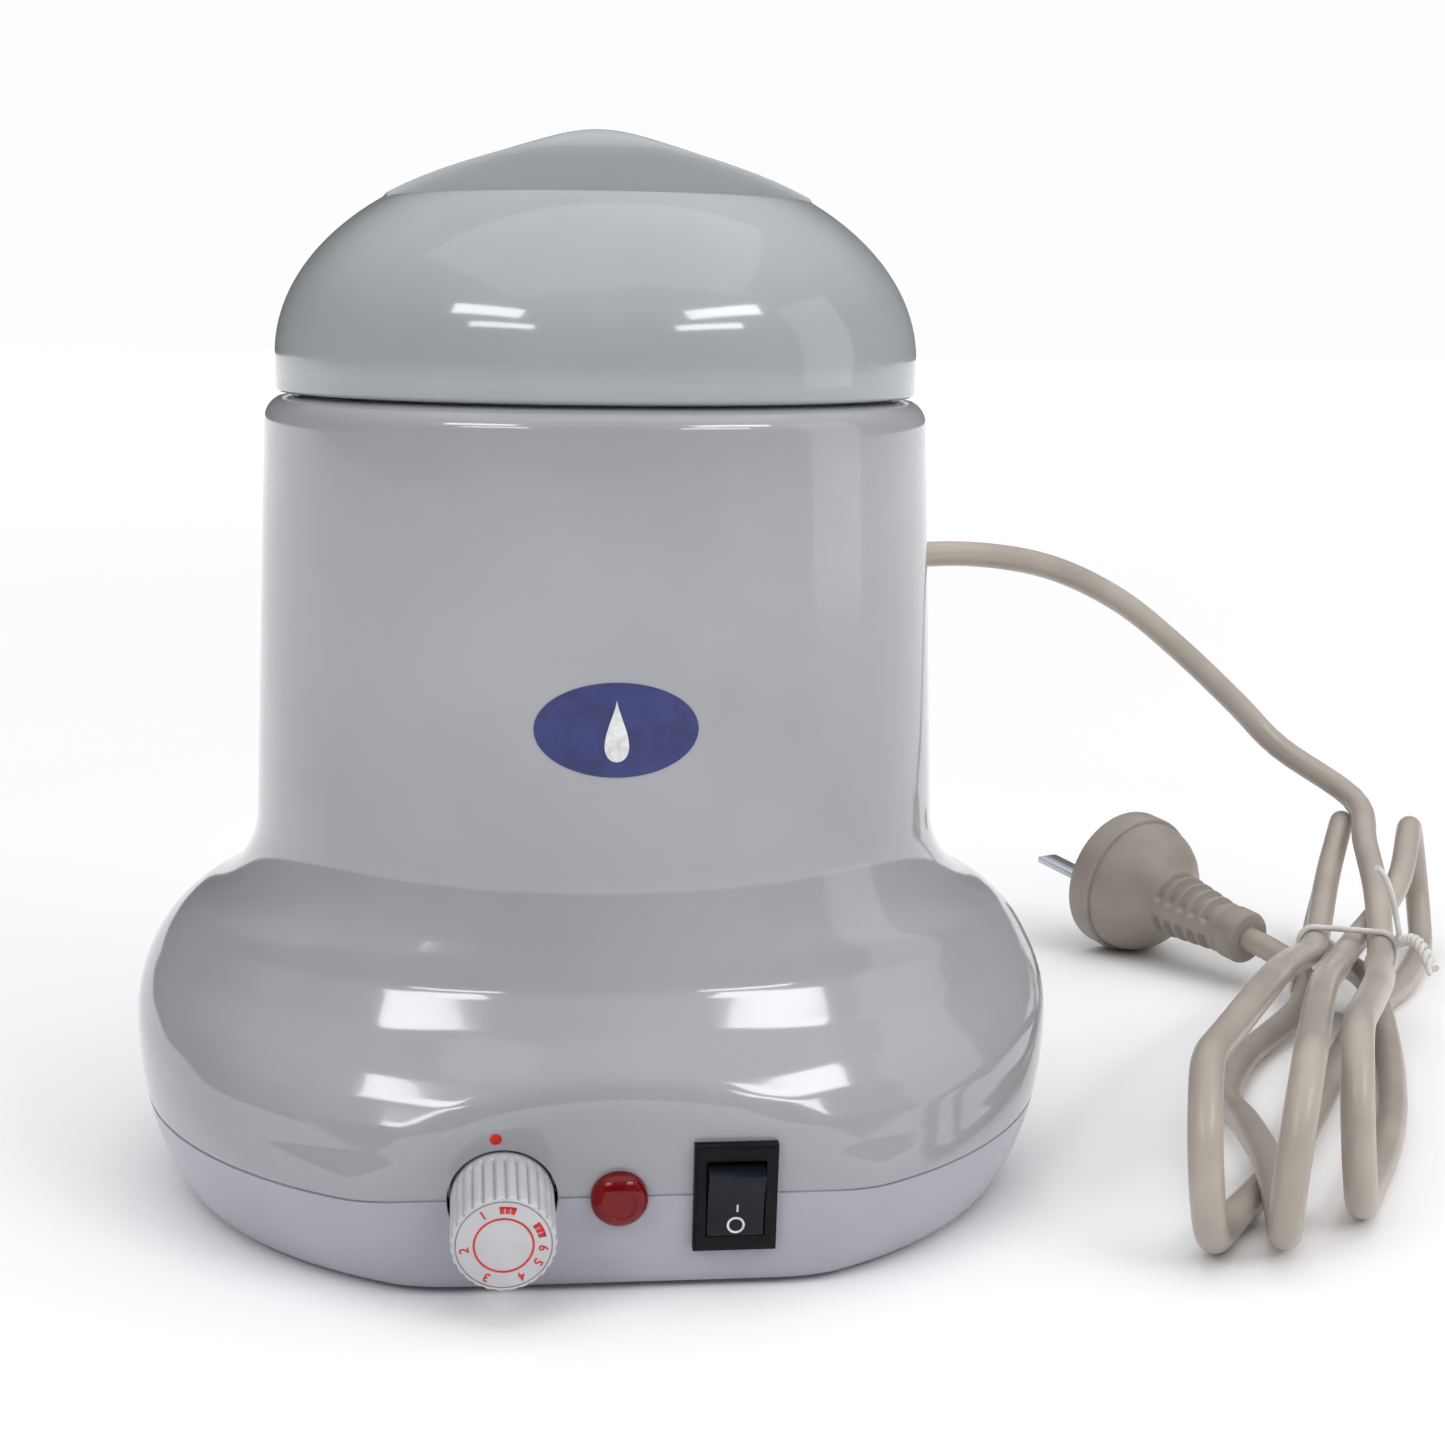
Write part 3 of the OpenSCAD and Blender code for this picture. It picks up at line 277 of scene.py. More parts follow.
def settle(obj, body, stands_for=()):
    """Joins a finished piece to its body and hides the frame nodes it stands for."""
    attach(obj, body)
    if stands_for:
        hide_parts(*stands_for)


def grid_faces(rows, columns, closed, flip=False, start=0):
    """Quads of a grid of points stored row by row; closed joins each row's end to its start."""
    faces = []
    for r in range(rows - 1):
        for c in range(columns if closed else columns - 1):
            d = (c + 1) % columns
            quad = [start + r * columns + c, start + r * columns + d, start + (r + 1) * columns + d,
                    start + (r + 1) * columns + c]
            faces.append(quad[::-1] if flip else quad)
    return faces


def lathe(profile, steps=96, place=Matrix.Identity(4), ripple=None):
    """Points and faces of a closed profile turned about Z; ripple(angle, r, z) may change the radius."""
    rows = len(profile)
    points = []
    for r, z in profile:
        for k in range(steps):
            a = 2 * math.pi * k / steps
            radius = ripple(a, r, z) if ripple else r
            points.append(place @ Vector((radius * math.cos(a), radius * math.sin(a), z)))
    faces = grid_faces(rows, steps, True)
    faces.append(list(range(steps))[::-1])
    faces.append([(rows - 1) * steps + k for k in range(steps)])
    return points, faces


def smooth_min(a, b, soft):
    """The lower of two values, with the corner between them rounded over the width soft."""
    h = max(soft - abs(a - b), 0.0) / soft
    return min(a, b) - h * h * soft / 4


def arc(cx, cy, rx, ry, start, end, count):
    """Points on part of an ellipse, angles in degrees."""
    turn = [math.radians(start + (end - start) * i / count) for i in range(count + 1)]
    return [(cx + rx * math.cos(t), cy + ry * math.sin(t)) for t in turn]


def cut(obj, cutters):
    """Takes closed cutter meshes out of an object and removes them."""
    for cutter in cutters:
        knife = obj.modifiers.new("cut", "BOOLEAN")
        knife.operation = "DIFFERENCE"
        knife.solver = "EXACT"
        knife.object = cutter
        bpy.context.view_layer.objects.active = obj
        bpy.ops.object.modifier_apply(modifier=knife.name)
        bpy.data.objects.remove(cutter)


def loose(name, points, faces):
    """A helper mesh, such as a cutter, that doesn't stay in the scene."""
    mesh = bpy.data.meshes.new(name)
    mesh.from_pydata([Vector(p) * MM for p in points], [], faces)
    obj = bpy.data.objects.new(name, mesh)
    bpy.context.scene.collection.objects.link(obj)
    return obj


def panel_place(x=0.0, y=0.0, z=0.0):
    """Matrix of a point on the control panel: X right, Y up the panel, Z straight out of it."""
    lean = Matrix.Rotation(math.radians(90) + PANEL_LEAN, 4, "X")
    return Matrix.Translation((0, -PANEL_Y, SEAM_Z)) @ lean @ Matrix.Translation((x, y, z))


# ---- The body's outer shape ----


def side_radius(z):
    """Outer radius of the turned body at height z: skirt, shoulder, hollow flare and tube, then the rounded lip."""
    if z <= 34:
        return 72 + 21 * math.sqrt(max(0.0, 1 - ((34 - z) / 40) ** 2))
    if z <= 34 + 26 * math.sin(math.radians(70)):
        return 72 + 21 * math.sqrt(max(0.0, 1 - ((z - 34) / 26) ** 2))
    if z <= 74.84:
        return 86.58 - math.sqrt(max(0.0, 18**2 - (74.84 - z) ** 2))
    tube = 68.58 + (65.8 - 68.58) * (z - 74.84) / (TUBE_TOP - 5 - 74.84)
    if z <= TUBE_TOP - 5:
        return tube
    return 65.8 - 5 + math.sqrt(max(0.0, 25 - (z - TUBE_TOP + 5) ** 2))


APRON = [(-5, 112), (19, 112), (27, 107.5), (32, 106.2), (36.5, 103.8), (40.5, 101.2), (47, 96.4), (54, 92.2),
         (62, 89.6), (71, 88.6), (200, 88.6)]
APRON_BACK = 20.0


def apron_radius(angle, z):
    """Distance to the lower apron over the panel; its axis stands behind the body's, angle is from the front."""
    heights = [p[0] for p in APRON]
    at = float(np.interp(z, heights, [p[1] for p in APRON]))
    c = math.cos(angle)
    return -APRON_BACK * c + math.sqrt(max(0.0, (APRON_BACK * c) ** 2 - APRON_BACK**2 + at**2))


def body_radius(angle, z, inset=0.0, soft=5.0):
    """Outer radius at an angle from the front, with the arch and the apron blended in, less inset."""
    radius = smooth_min(side_radius(z), apron_radius(angle, z), soft * 1.6)
    c = math.cos(angle)
    if c > 0.2:
        radius = smooth_min(radius, (PANEL_Y + math.tan(PANEL_LEAN) * (z - SEAM_Z)) / c, soft)
    return radius - inset


def body_angles():
    """Angles round the body, closer together over the panel."""
    front = [math.radians(a) for a in np.arange(-44, 44.01, 0.55)]
    rest = [math.radians(a) for a in np.arange(46, 314, 2.2)]
    return front + rest


def body_rows(low, high):
    """Heights of the body's rows from low to high, closer where the shape turns."""
    steps = [(45, 0.8), (58.5, 0.9), (76, 1.4), (TUBE_TOP - 6, 7.5), (TUBE_TOP - 0.4, 0.6), (TUBE_TOP, 0.2)]
    rows, z = [low], low
    while z < high - 1e-6:
        step = next(s for limit, s in steps if z < limit)
        z = min(z + step, high)
        rows.append(z)
    return rows


def body_skin(low, high, inset, soft):
    """Rows of points of the body's skin, moved inwards by inset."""
    rows = []
    for z in body_rows(low, high):
        row = []
        for a in body_angles():
            r = body_radius(a, z, inset, soft)
            row.append((r * math.sin(a), -r * math.cos(a), z))
        rows.append(row)
    return rows


def closed_shell(loops):
    """Points and faces of a closed surface through a ring of rows, the last row joined to the first."""
    columns = len(loops[0])
    points = [p for row in loops for p in row]
    faces = grid_faces(len(loops), columns, True)
    last = (len(loops) - 1) * columns
    faces += [[last + c, last + (c + 1) % columns, (c + 1) % columns, c] for c in range(columns)]
    return points, faces


def ring_row(radius, z):
    """A round row with the body's columns."""
    return [(radius * math.sin(a), -radius * math.cos(a), z) for a in body_angles()]


def round_cutter(x, radius, depth=26.0):
    """A drill through the panel."""
    points, faces = lathe([(radius, -depth), (radius, depth)], 64, panel_place(x))
    return loose("drill", points, faces)


def slab_cutter(place, sx, sy, sz):
    """A straight-sided cutter of that size about its place."""
    box = [(x * sx / 2, y * sy / 2, z * sz / 2) for z in (-1, 1) for x, y in ((-1, -1), (1, -1), (1, 1), (-1, 1))]
    points = [place @ Vector(p) for p in box]
    faces = [[3, 2, 1, 0], [4, 5, 6, 7]] + [[k, (k + 1) % 4, 4 + (k + 1) % 4, 4 + k] for k in range(4)]
    return loose("slot", points, faces)


def panel_cutters():
    """The knob's, lamp's and switch's openings; the split line runs across all three."""
    return [round_cutter(-CONTROL_X, 9.85), round_cutter(0, 4.45), slab_cutter(panel_place(CONTROL_X), 13, 19, 40)]


# ---- Operators: one for each piece or group of like pieces ----


class WAXHEATER_OT_shells(bpy.types.Operator):
    """Housing and base shell: thin moulded walls with the arched control panel, parted by a fine seam"""

    bl_idname = "waxheater.shells"
    bl_label = "Housing and base"

    def execute(self, context):
        sizes = context.scene.waxheater_shell
        wall, soft = sizes.wall / MM, sizes.panel_blend / MM
        # Housing: outside upwards, over the lip, down the funnel to the ledge and back down inside
        outer = body_skin(SEAM_Z, TUBE_TOP, 0, soft)
        outer.insert(0, [(x * 0.9965, y * 0.9965, z) for x, y, z in outer[0]])
        outer[1] = [(x, y, z + 0.25) for x, y, z in outer[1]]
        inner = body_skin(SEAM_Z, TUBE_TOP - 16, wall, soft)[::-1]
        mouth = [ring_row(r, z) for r, z in (
            (60.3, TUBE_TOP), (59.8, TUBE_TOP - 0.4), (59.5, TUBE_TOP - 1.5), (59.5, TUBE_TOP - 9), (57.4, 138.2),
            (56.8, 137.5), (56.8, 134.5), (47, 134.5), (47, 132), (58, 132), (61.5, TUBE_TOP - 12.5))]
        points, faces = closed_shell(outer + mouth + inner)
        shell = piece("housing_shell", points, faces, "abs_gloss_lilac_white", "root", ["housing"])
        drill, drill_faces = lathe([(5.0, -12), (5.0, 12)], 48)
        exit_turn = Matrix.Rotation(math.radians(-29), 4, "Z") @ Matrix.Rotation(math.radians(-90), 4, "X")
        gland = [Matrix.Translation((32.76, 59.1, 103)) @ exit_turn @ p for p in drill]
        cut(shell, panel_cutters() + [loose("drill", gland, drill_faces)])
        # Base: its own wall from the seam down to a rounded foot, closed by the bottom
        low = 1.5
        skin = body_skin(low + 1.2, SEAM_Z - 0.3, 0, soft)[::-1]
        skin.insert(0, [(x * 0.996, y * 0.996, SEAM_Z) for x, y, z in skin[0]])
        foot = [(x * 0.9865, y * 0.9865, low) for x, y, z in skin[-1]]
        bottom = [[(x * f, y * f, low) for x, y, z in foot] for f in (0.75, 0.4, 0.01)]
        floor = [[(x * f, y * f, low + 3) for x, y, z in foot] for f in (0.01, 0.4, 0.96)]
        inside = body_skin(low + 3.2, SEAM_Z, wall, soft)
        points, faces = closed_shell(skin + [foot] + bottom + floor + inside)
        base = piece("base_shell_moulding", points, faces, "abs_satin_lilac", "root", ["base_shell"])
        vents = [slab_cutter(Matrix.Translation((s * 20, k * 7, 3)), 22, 3, 9) for s in (-1, 1) for k in range(-3, 4)]
        cut(base, panel_cutters() + vents)
        for shell_piece in (shell, base):
            dress(shell_piece, "abs_gloss_lilac_white" if shell_piece is shell else "abs_satin_lilac", 42)
        for k in range(1, 5):
            dress_node(f"foot_{k}", "rubber_black", 0.25)
        dress_node("base_screws", "steel_zinc_plated", 0.12)
        dress_node("rating_plate", "label_satin_silver")
        return {"FINISHED"}


def dress_node(name, look, bevel_mm=0.0):
    """Gives a frame node its finish, and small rounded edges where bevel_mm is set."""
    obj = nodes[name]
    dress(obj, look, 32)
    weld = obj.modifiers.new("join", "WELD")
    weld.merge_threshold = 0.00001
    if bevel_mm:
        edge = obj.modifiers.new("edges", "BEVEL")
        edge.width = bevel_mm * MM
        edge.segments = 2
        edge.limit_method = "ANGLE"
        edge.angle_limit = math.radians(35)
        edge.harden_normals = True


def lid_height(x, y, lift):
    """Height of the lid's top skin: a dome with a round bowl sunk into it and a grip ridge across the bowl."""
    r = math.hypot(x, y)
    dome = RIM_TOP + lift * math.sqrt(max(0.0, 1 - (r / LID_R) ** 2))
    bowl = 186 + 9.6 * max(0.0, (r - 31.0) / 11.0) ** 2.4
    crest = RIM_TOP + lift * math.sqrt(max(0.0, 1 - (x / LID_R) ** 2)) + 3.3 * math.exp(-((x / 15) ** 2))
    flank = float(np.interp(abs(y), (0, 4, 7, 8.3, 10.2, 13.5, 18, 22, 26),
                            (214, 209.6, 206, 201, 195, 190.2, 187.2, 186, 184)))
    ridge = smooth_min(crest, flank, 2.6)
    floor = min(dome, bowl)
    soft = 3.0 * min(1.0, max(0.02, (41.5 - r) / 7.0))
    return min(-smooth_min(-floor, -ridge, soft), max(dome, crest)) if r < LIP_R else dome


class WAXHEATER_OT_lid(bpy.types.Operator):
    """Lid: a domed skin with two finger scoops and the sculpted ridge between them"""

    bl_idname = "waxheater.lid"
    bl_label = "Lid"

    def execute(self, context):
        lift = context.scene.waxheater_shell.dome_height / MM
        turn = [math.radians(a) for a in np.concatenate(
            [np.arange(-89.3, -26, 1.3), np.arange(-26, 26, 0.6), np.arange(26, 90, 1.3)])]
        across = [math.sin(math.radians(a)) for a in np.linspace(-90, 90, 57)]
        points, faces = [], []

        def skin(drop, shrink):
            """Rows across the bowl along the ridge, then rings from the lip out to the rim."""
            start = len(points)
            for t in turn:
                y, half = LIP_R * math.sin(t), LIP_R * math.cos(t)
                for s in across:
                    x = half * s
                    points.append((x * shrink, y * shrink, lid_height(x * 0.9999, y * 0.9999, lift) - drop))
            rows, cols = len(turn), len(across)
            quads = grid_faces(rows, cols, False, drop > 0, start)
            faces.extend([q[::-1] for q in quads])
            edge = [start + k * cols + cols - 1 for k in range(rows)] + [start + k * cols for k in range(rows)][::-1]
            faces.append([start + c for c in range(cols)][:: 1 if drop == 0 else -1])
            faces.append([start + (rows - 1) * cols + c for c in range(cols)][:: -1 if drop == 0 else 1])
            return edge

        def ring(edge, stations, flip):
            """Joins rings of the given radius and height to a loop of points."""
            for r, z in stations:
                fresh = []
                for k in edge:
                    x, y = points[k][0], points[k][1]
                    n = math.hypot(x, y)
                    fresh.append(len(points))
                    points.append((x / n * r, y / n * r, z))
                for c in range(len(edge)):
                    d = (c + 1) % len(edge)
                    quad = [edge[c], edge[d], fresh[d], fresh[c]]
                    faces.append(quad[::-1] if flip else quad)
                edge = fresh
            return edge

        top = skin(0.0, 1.0)
        dome = [(LID_R * math.sin(math.radians(a)), RIM_TOP + lift * math.cos(math.radians(a)))
                for a in np.linspace(math.degrees(math.asin(42.35 / LID_R)), 90, 34)]
        rim = [(LID_R, 162), (LID_R, 159.0), (LID_R - 0.25, 158.4), (LID_R - 0.8, 158.0), (58.5, 158.0), (58.5, 152.4),
               (58.1, 152.0), (56.9, 152.0), (56.5, 152.4), (56.5, 160.0), (LID_R - 2.5, 160.0)]
        inner = [(LID_R - 2.5, RIM_TOP)] + [((LID_R - 2.5) * math.sin(math.radians(a)),
                 RIM_TOP + (lift - 2.5) * math.cos(math.radians(a))) for a in np.linspace(86, 43, 14)]
        last = ring(top, dome + rim + inner, False)
        under = skin(2.6, 0.985)
        for c in range(len(last)):
            d = (c + 1) % len(last)
            faces.append([last[c], last[d], under[d], under[c]])
        lid = piece("lid_moulding", points, faces, "abs_gloss_grey_white", "lid", ["lid"], 50)
        face_out(lid)
        dress_node("lid_seal", "silicone_milky")
        return {"FINISHED"}


def face_out(obj):
    """Turns every face of a closed mesh outwards."""
    work = bmesh.new()
    work.from_mesh(obj.data)
    bmesh.ops.recalc_face_normals(work, faces=work.faces)
    work.to_mesh(obj.data)
    work.free()


def flat_shape(name, outline, place, thick, look, body, hole=None):
    """A thin printed or moulded flat shape on a place: an outline in millimetres, with an optional hole."""
    count = len(outline)
    if hole:
        points = [place @ Vector((x, y, z)) for z in (0, thick) for ring in (outline, hole) for x, y in ring]
        faces = []
        for k in range(count):
            j = (k + 1) % count
            o0, i0, o1, i1 = 0, count, 2 * count, 3 * count
            faces += [[o0 + k, o0 + j, o1 + j, o1 + k], [i0 + j, i0 + k, i1 + k, i1 + j],
                      [o1 + k, o1 + j, i1 + j, i1 + k], [o0 + j, o0 + k, i0 + k, i0 + j]]
    else:
        points = [place @ Vector((x, y, z)) for z in (0, thick) for x, y in outline]
        faces = [list(range(count))[::-1], [count + k for k in range(count)]]
        faces += [[k, (k + 1) % count, count + (k + 1) % count, count + k] for k in range(count)]
    return piece(name, points, faces, look, body)


def circle(radius, count=48, cx=0.0, cy=0.0):
    """Points of a circle."""
    return [(cx + radius * math.cos(2 * math.pi * k / count), cy + radius * math.sin(2 * math.pi * k / count))
            for k in range(count)]


def sector(inner, outer, start, end, count=6):
    """Outline of part of a ring, angles in degrees."""
    return arc(0, 0, outer, outer, start, end, count) + arc(0, 0, inner, inner, end, start, count)


class WAXHEATER_OT_controls(bpy.types.Operator):
    """Ribbed knob with its printed scale, pilot lens and rocker switch"""

    bl_idname = "waxheater.controls"
    bl_label = "Knob, lamp and switch"

    def execute(self, context):
        sizes = context.scene.waxheater_panel
        ribs, height = sizes.ribs, sizes.knob_height / MM
        at_knob = panel_place(-CONTROL_X)

        def ribbed(angle, r, z):
            """Rounded ribs with narrow grooves, fading out at the face and at the skirt."""
            reach = min(1.0, max(0.0, (z - 0.8) / 0.8)) * min(1.0, max(0.0, (height - 0.15 - z) / 0.5))
            if r < 8.4 or z < 0.8:
                reach = 0.0
            wave = abs(math.cos(angle * ribs / 2))
            return r - 0.8 * reach * (1 - min(1.0, wave * 1.3)) ** 1.2

        wall = [(9.2, z) for z in np.arange(-2.9, height - 0.9, 0.5)]
        profile = [(3.05, -3), (8.9, -3)] + wall + [(9.2, height - 0.75), (9.1, height - 0.5), (8.95, height - 0.3),
                   (8.75, height - 0.15), (8.55, height - 0.1), (8.42, height - 0.12), (8.38, height - 0.42),
                   (8.2, height - 0.44), (8.15, height - 0.1), (7.9, height), (4, height), (0.05, height)]
        points, faces = lathe(profile, int(ribs) * 12, at_knob, ribbed)
        knob = piece("knob_cap", points, faces, "abs_satin_white", "knob", ["knob"], 55)
        face_out(knob)
        face = panel_place(-CONTROL_X, 0, height)
        flat_shape("knob_scale_ring", circle(5.3, 72), face, PRINT, "ink_red", "knob", circle(4.92, 72))
        for name, start in (("off", 84), ("full", 24)):
            for k in range(3):
                a = start + 8.4 * (k - 1)
                flat_shape(f"knob_mark_{name}_{k}", sector(6.1, 7.3, a - 3.4, a + 3.4), face, PRINT, "ink_red", "knob")
            rule = sector(7.1, 7.5, start - 11.8, start + 11.8)
            flat_shape(f"knob_mark_{name}_rule", rule, face, PRINT, "ink_red", "knob")
        for digit, angle in (("1", 121), ("2", 187), ("3", 244), ("4", 297), ("5", 330), ("6", 354)):
            words = bpy.data.curves.new("digit", "FONT")
            words.body = digit
            words.size = 2.3
            words.extrude = 0.02
            words.offset = 0.045
            words.align_x = "CENTER"
            words.align_y = "CENTER"
            holder = bpy.data.objects.new("digit", words)
            bpy.context.scene.collection.objects.link(holder)
            bpy.context.view_layer.update()
            mesh = bpy.data.meshes.new_from_object(holder)
            bpy.data.objects.remove(holder)
            spin = Matrix.Rotation(math.radians(angle), 4, "Z") @ Matrix.Translation((6.75, 0, 0.03))
            spin = face @ spin @ Matrix.Rotation(math.radians(-90), 4, "Z")
            corners = [spin @ v.co for v in mesh.vertices]
            piece(f"knob_digit_{digit}", corners, [list(p.vertices) for p in mesh.polygons], "ink_red", "knob")
        flat_shape("panel_dot", circle(1.05, 40), panel_place(-CONTROL_X - 1.1, 12.0, 0.02), PRINT, "ink_red", "root")
        dress_node("knob_spindle", "steel_zinc_plated", 0.2)
        # Lens: a stepped cap with a sunk flat middle
        profile = [(0.05, 0.0), (5.15, 0.0), (5.15, 1.2), (5.05, 1.6)] + arc(0, 1.3, 5.0, 2.4, 14, 52, 7)
        profile += [(2.9, 3.25), (2.75, 3.1), (2.6, 3.05), (1.4, 3.12), (0.05, 3.15)]
        points, faces = lathe(profile, 96, panel_place())
        lens = piece("lamp_cap", points, faces, "polycarbonate_red", "root", ["lamp_lens"], 40)
        face_out(lens)
        # Switch: the frame's own body and rocker with moulded edges, and the two printed marks
        dress_node("switch_body", "nylon_black", 0.3)
        # The rocker takes the lighter copy of the nylon, painted sheen on its face
        dress_node("rocker", "nylon_black_rubbed", 0.45)
        tip = panel_place(CONTROL_X, 0, -1) @ Matrix.Rotation(math.radians(11), 4, "X")
        lower = tip @ Matrix.Translation((0.3, 0, 3.32)) @ Matrix.Rotation(math.radians(-4.3), 4, "X")
        bar = [(-0.16, -1.85), (0.16, -1.85), (0.16, -0.35), (-0.16, -0.35)]
        flat_shape("rocker_mark_on", bar, lower, 0.06, "ink_white", "rocker")
        ring = tip @ Matrix.Translation((0.1, -4.55, 3.88)) @ Matrix.Rotation(math.radians(-11.5), 4, "X")
        flat_shape("rocker_mark_off", circle(1.62, 48), ring, 0.06, "ink_white", "rocker", circle(1.22, 48))
        for name in ("lamp_body", "lamp_nut"):
            dress_node(name, "nylon_natural", 0.1)
        dress_node("switch_terminals", "brass_turned", 0.08)
        return {"FINISHED"}


class WAXHEATER_OT_badge(bpy.types.Operator):
    """Printed oval with a drop, on the front of the tube"""

    bl_idname = "waxheater.badge"
    bl_label = "Printed drop"

    def execute(self, context):
        high = context.scene.waxheater_panel.badge_height / MM

        def wrapped(name, outline, lift, look):
            """Lays a flat outline on the tube's front and keeps it just proud of the skin."""
            ring = [Vector((x, y)) for x, y in outline]
            middle = sum(ring, Vector((0, 0))) / len(ring)
            points, count = [], len(ring)
            for f in (1.0, 0.66, 0.33, 0.02):
                for p in ring:
                    q = middle + (p - middle) * f
                    z = 101 + q.y
                    a = q.x / side_radius(z)
                    r = body_radius(a, z, -lift, context.scene.waxheater_shell.panel_blend / MM)
                    points.append((r * math.sin(a), -r * math.cos(a), z))
            faces = grid_faces(4, count, True)
            return piece(name, points, faces, look, "root", ())

        oval = [(high * 0.88 * math.cos(t), high * 0.5 * math.sin(t)) for t in np.linspace(0, 2 * math.pi, 73)[:-1]]
        drop = []
        for t in np.linspace(0, 2 * math.pi, 61)[:-1]:
            pinch = 0.5 * (1 - math.cos(t))
            drop.append((high * 0.2 * math.sin(t) * pinch, high * 0.33 * math.cos(t) - 0.1))
        wrapped("badge_oval", oval, 0.14, "ink_navy")
        wrapped("badge_drop", drop, 0.2, "ink_white")
        return {"FINISHED"}


# ---- Cord ----

EXIT_WAY = Vector((math.sin(math.radians(29)), math.cos(math.radians(29)), 0))
EXIT_POINT = EXIT_WAY * 67.57 + Vector((0, 0, 103))
BOOT_LENGTH = 26
LEAD = [(62, 107, 110), (81, 119, 112.5), (104, 129, 112.5), (128, 140, 108), (150, 149, 98), (169, 155, 84),
        (187, 157, 68), (199, 154, 56)]
HANK_AT = Vector((176, 38, 0))
HANK_WAY = Vector((math.cos(math.radians(67.5)), math.sin(math.radians(67.5)), 0))
HANK_SIDE = Vector((-HANK_WAY.y, HANK_WAY.x, 0))
PLUG_FACE = Vector((155, 153, 19.7))
PLUG_WAY = Vector((45, -88, -13)).normalized()
PLUG_LENGTH = 50
TIE_AT = 42


def hank_point(u, v, z):
    """A point of the hank: u along it towards the back, v to its left and z up."""
    return HANK_AT + HANK_WAY * u + HANK_SIDE * v + Vector((0, 0, z))


def fold(u, top, bottom, way, downwards=True):
    """Half a turn at the end of the hank, from its top strand round to its bottom one."""
    upper, lower = Vector((u, *top)), Vector((u, *bottom))
    middle, half = (upper + lower) / 2, (upper - lower) / 2
    turn = [math.radians(a) for a in range(0, 181, 15)]
    loop = [middle + half * math.cos(t) + Vector((way * half.length * math.sin(t), 0, 0)) for t in turn]
    return [tuple(p) for p in (loop if downwards else loop[::-1])]


def cord_route():
    """Points of the whole cord in millimetres: the lead, the folds of the hank and the tail into the plug."""
    low = 3.4
    hank = [(113, 2, 43), (90, -2, 36), (66, -6, 28), (42, -8, 19.5), (5, -8, 25), (-40, -9, 34)]
    hank += fold(-92, (-6, 39), (-9, low), -1) + [(-50, -13, low), (0, -12, 4), (42, -6, 10.2), (72, 3, 8)]
    hank += fold(110, (5, 37), (11, low), 1, False) + [(82, 7, 28), (42, 8, 19.5), (0, 11, 26), (-50, 13, 35)]
    hank += fold(-119, (20, 38), (17, low), -1) + [(-80, 8, low), (-30, 2, low), (20, -3, low), (42, -6, low),
                                                   (72, -14, low)]
    hank += fold(109, (-13, 37), (-18, low), 1, False) + [(82, -11, 27), (62, -4, 20), (42, 0, 18.5), (0, 1.5, 25),
                                                          (-50, 2.5, 34)]
    hank += fold(-113, (2, 39), (5, low), -1) + [(-94, 10, 9.5), (-70, 16, 9), (-40, 22, 4), (-8, 21, low),
                                                 (20, 14, 4), (40, 9, 7), (53, 13, 10.5)]
    tail = PLUG_FACE + PLUG_WAY * PLUG_LENGTH
    route = [EXIT_POINT, EXIT_POINT + EXIT_WAY * BOOT_LENGTH, EXIT_POINT + EXIT_WAY * (BOOT_LENGTH + 8)]
    route += [Vector(p) for p in LEAD] + [hank_point(*p) for p in hank] + [tail + PLUG_WAY * 6, tail]
    return np.array([tuple(p) for p in route])


def spaced(points, gap, fine=12):
    """A smooth curve through the points, cut into equal steps of about gap."""
    ends = np.vstack([2 * points[0] - points[1], points, 2 * points[-1] - points[-2]])
    line = []
    for i in range(1, len(ends) - 2):
        a, b, c, d = ends[i - 1 : i + 3]
        for s in range(fine):
            t = s / fine
            line.append(0.5 * (2 * b + (c - a) * t + (2 * a - 5 * b + 4 * c - d) * t**2
                               + (3 * b - 3 * c + d - a) * t**3))
    line = np.array(line + [points[-1]])
    along = np.r_[0, np.cumsum(np.linalg.norm(np.diff(line, axis=0), axis=1))]
    marks = np.linspace(0, along[-1], int(round(along[-1] / gap)) + 1)
    return np.stack([np.interp(marks, along, line[:, k]) for k in range(3)], 1)


def relaxed(line, thick, rounds):
    """Lets the strands push each other apart, straighten and rest on the table; the ends keep their places."""
    free = np.ones(len(line))
    free[:75] = 0
    free[-3:] = 0
    home, q = line.copy(), line.copy()
    gap = np.linalg.norm(line[1] - line[0])
    one, two = np.triu_indices(len(line), k=int(math.ceil(3.2 * thick / gap)))
    for k in range(rounds):
        if k < rounds * 0.75:
            q += 0.03 * (home - q) * free[:, None]
        bend = np.zeros_like(q)
        bend[2:-2] = -(q[:-4] - 4 * q[1:-3] + 6 * q[2:-2] - 4 * q[3:-1] + q[4:]) / 16
        q += 0.5 * bend * free[:, None]
        apart = q[two] - q[one]
        reach = (apart**2).sum(1)
        close = reach < (thick * 1.01) ** 2
        i, j, push = one[close], two[close], apart[close]
        size = np.sqrt(reach[close]) + 1e-9
        share = 0.25 * (thick * 1.01 - size) / size
        np.add.at(q, i, -push * (share * free[i])[:, None])
        np.add.at(q, j, push * (share * free[j])[:, None])
        q[:, 2] = np.where((q[:, 2] < thick / 2) & (free > 0), thick / 2, q[:, 2])
    return q


def wire(name, path, radius, look, body, closed=False, stands_for=()):
    """A round cord or wire: one smooth spline with a round bevel."""
    data = bpy.data.curves.new(name, "CURVE")
    data.dimensions = "3D"
    spline = data.splines.new("POLY")
    spline.points.add(len(path) - 1)
    for point, place in zip(spline.points, path):
        point.co = (*[c * MM for c in place], 1)
    spline.use_cyclic_u = closed
    data.bevel_depth = radius * MM
    data.bevel_resolution = 6
    data.use_fill_caps = True
    obj = bpy.data.objects.new(name, data)
    bpy.context.scene.collection.objects.link(obj)
    data.materials.append(finish(look))
    settle(obj, body, stands_for)
    return obj


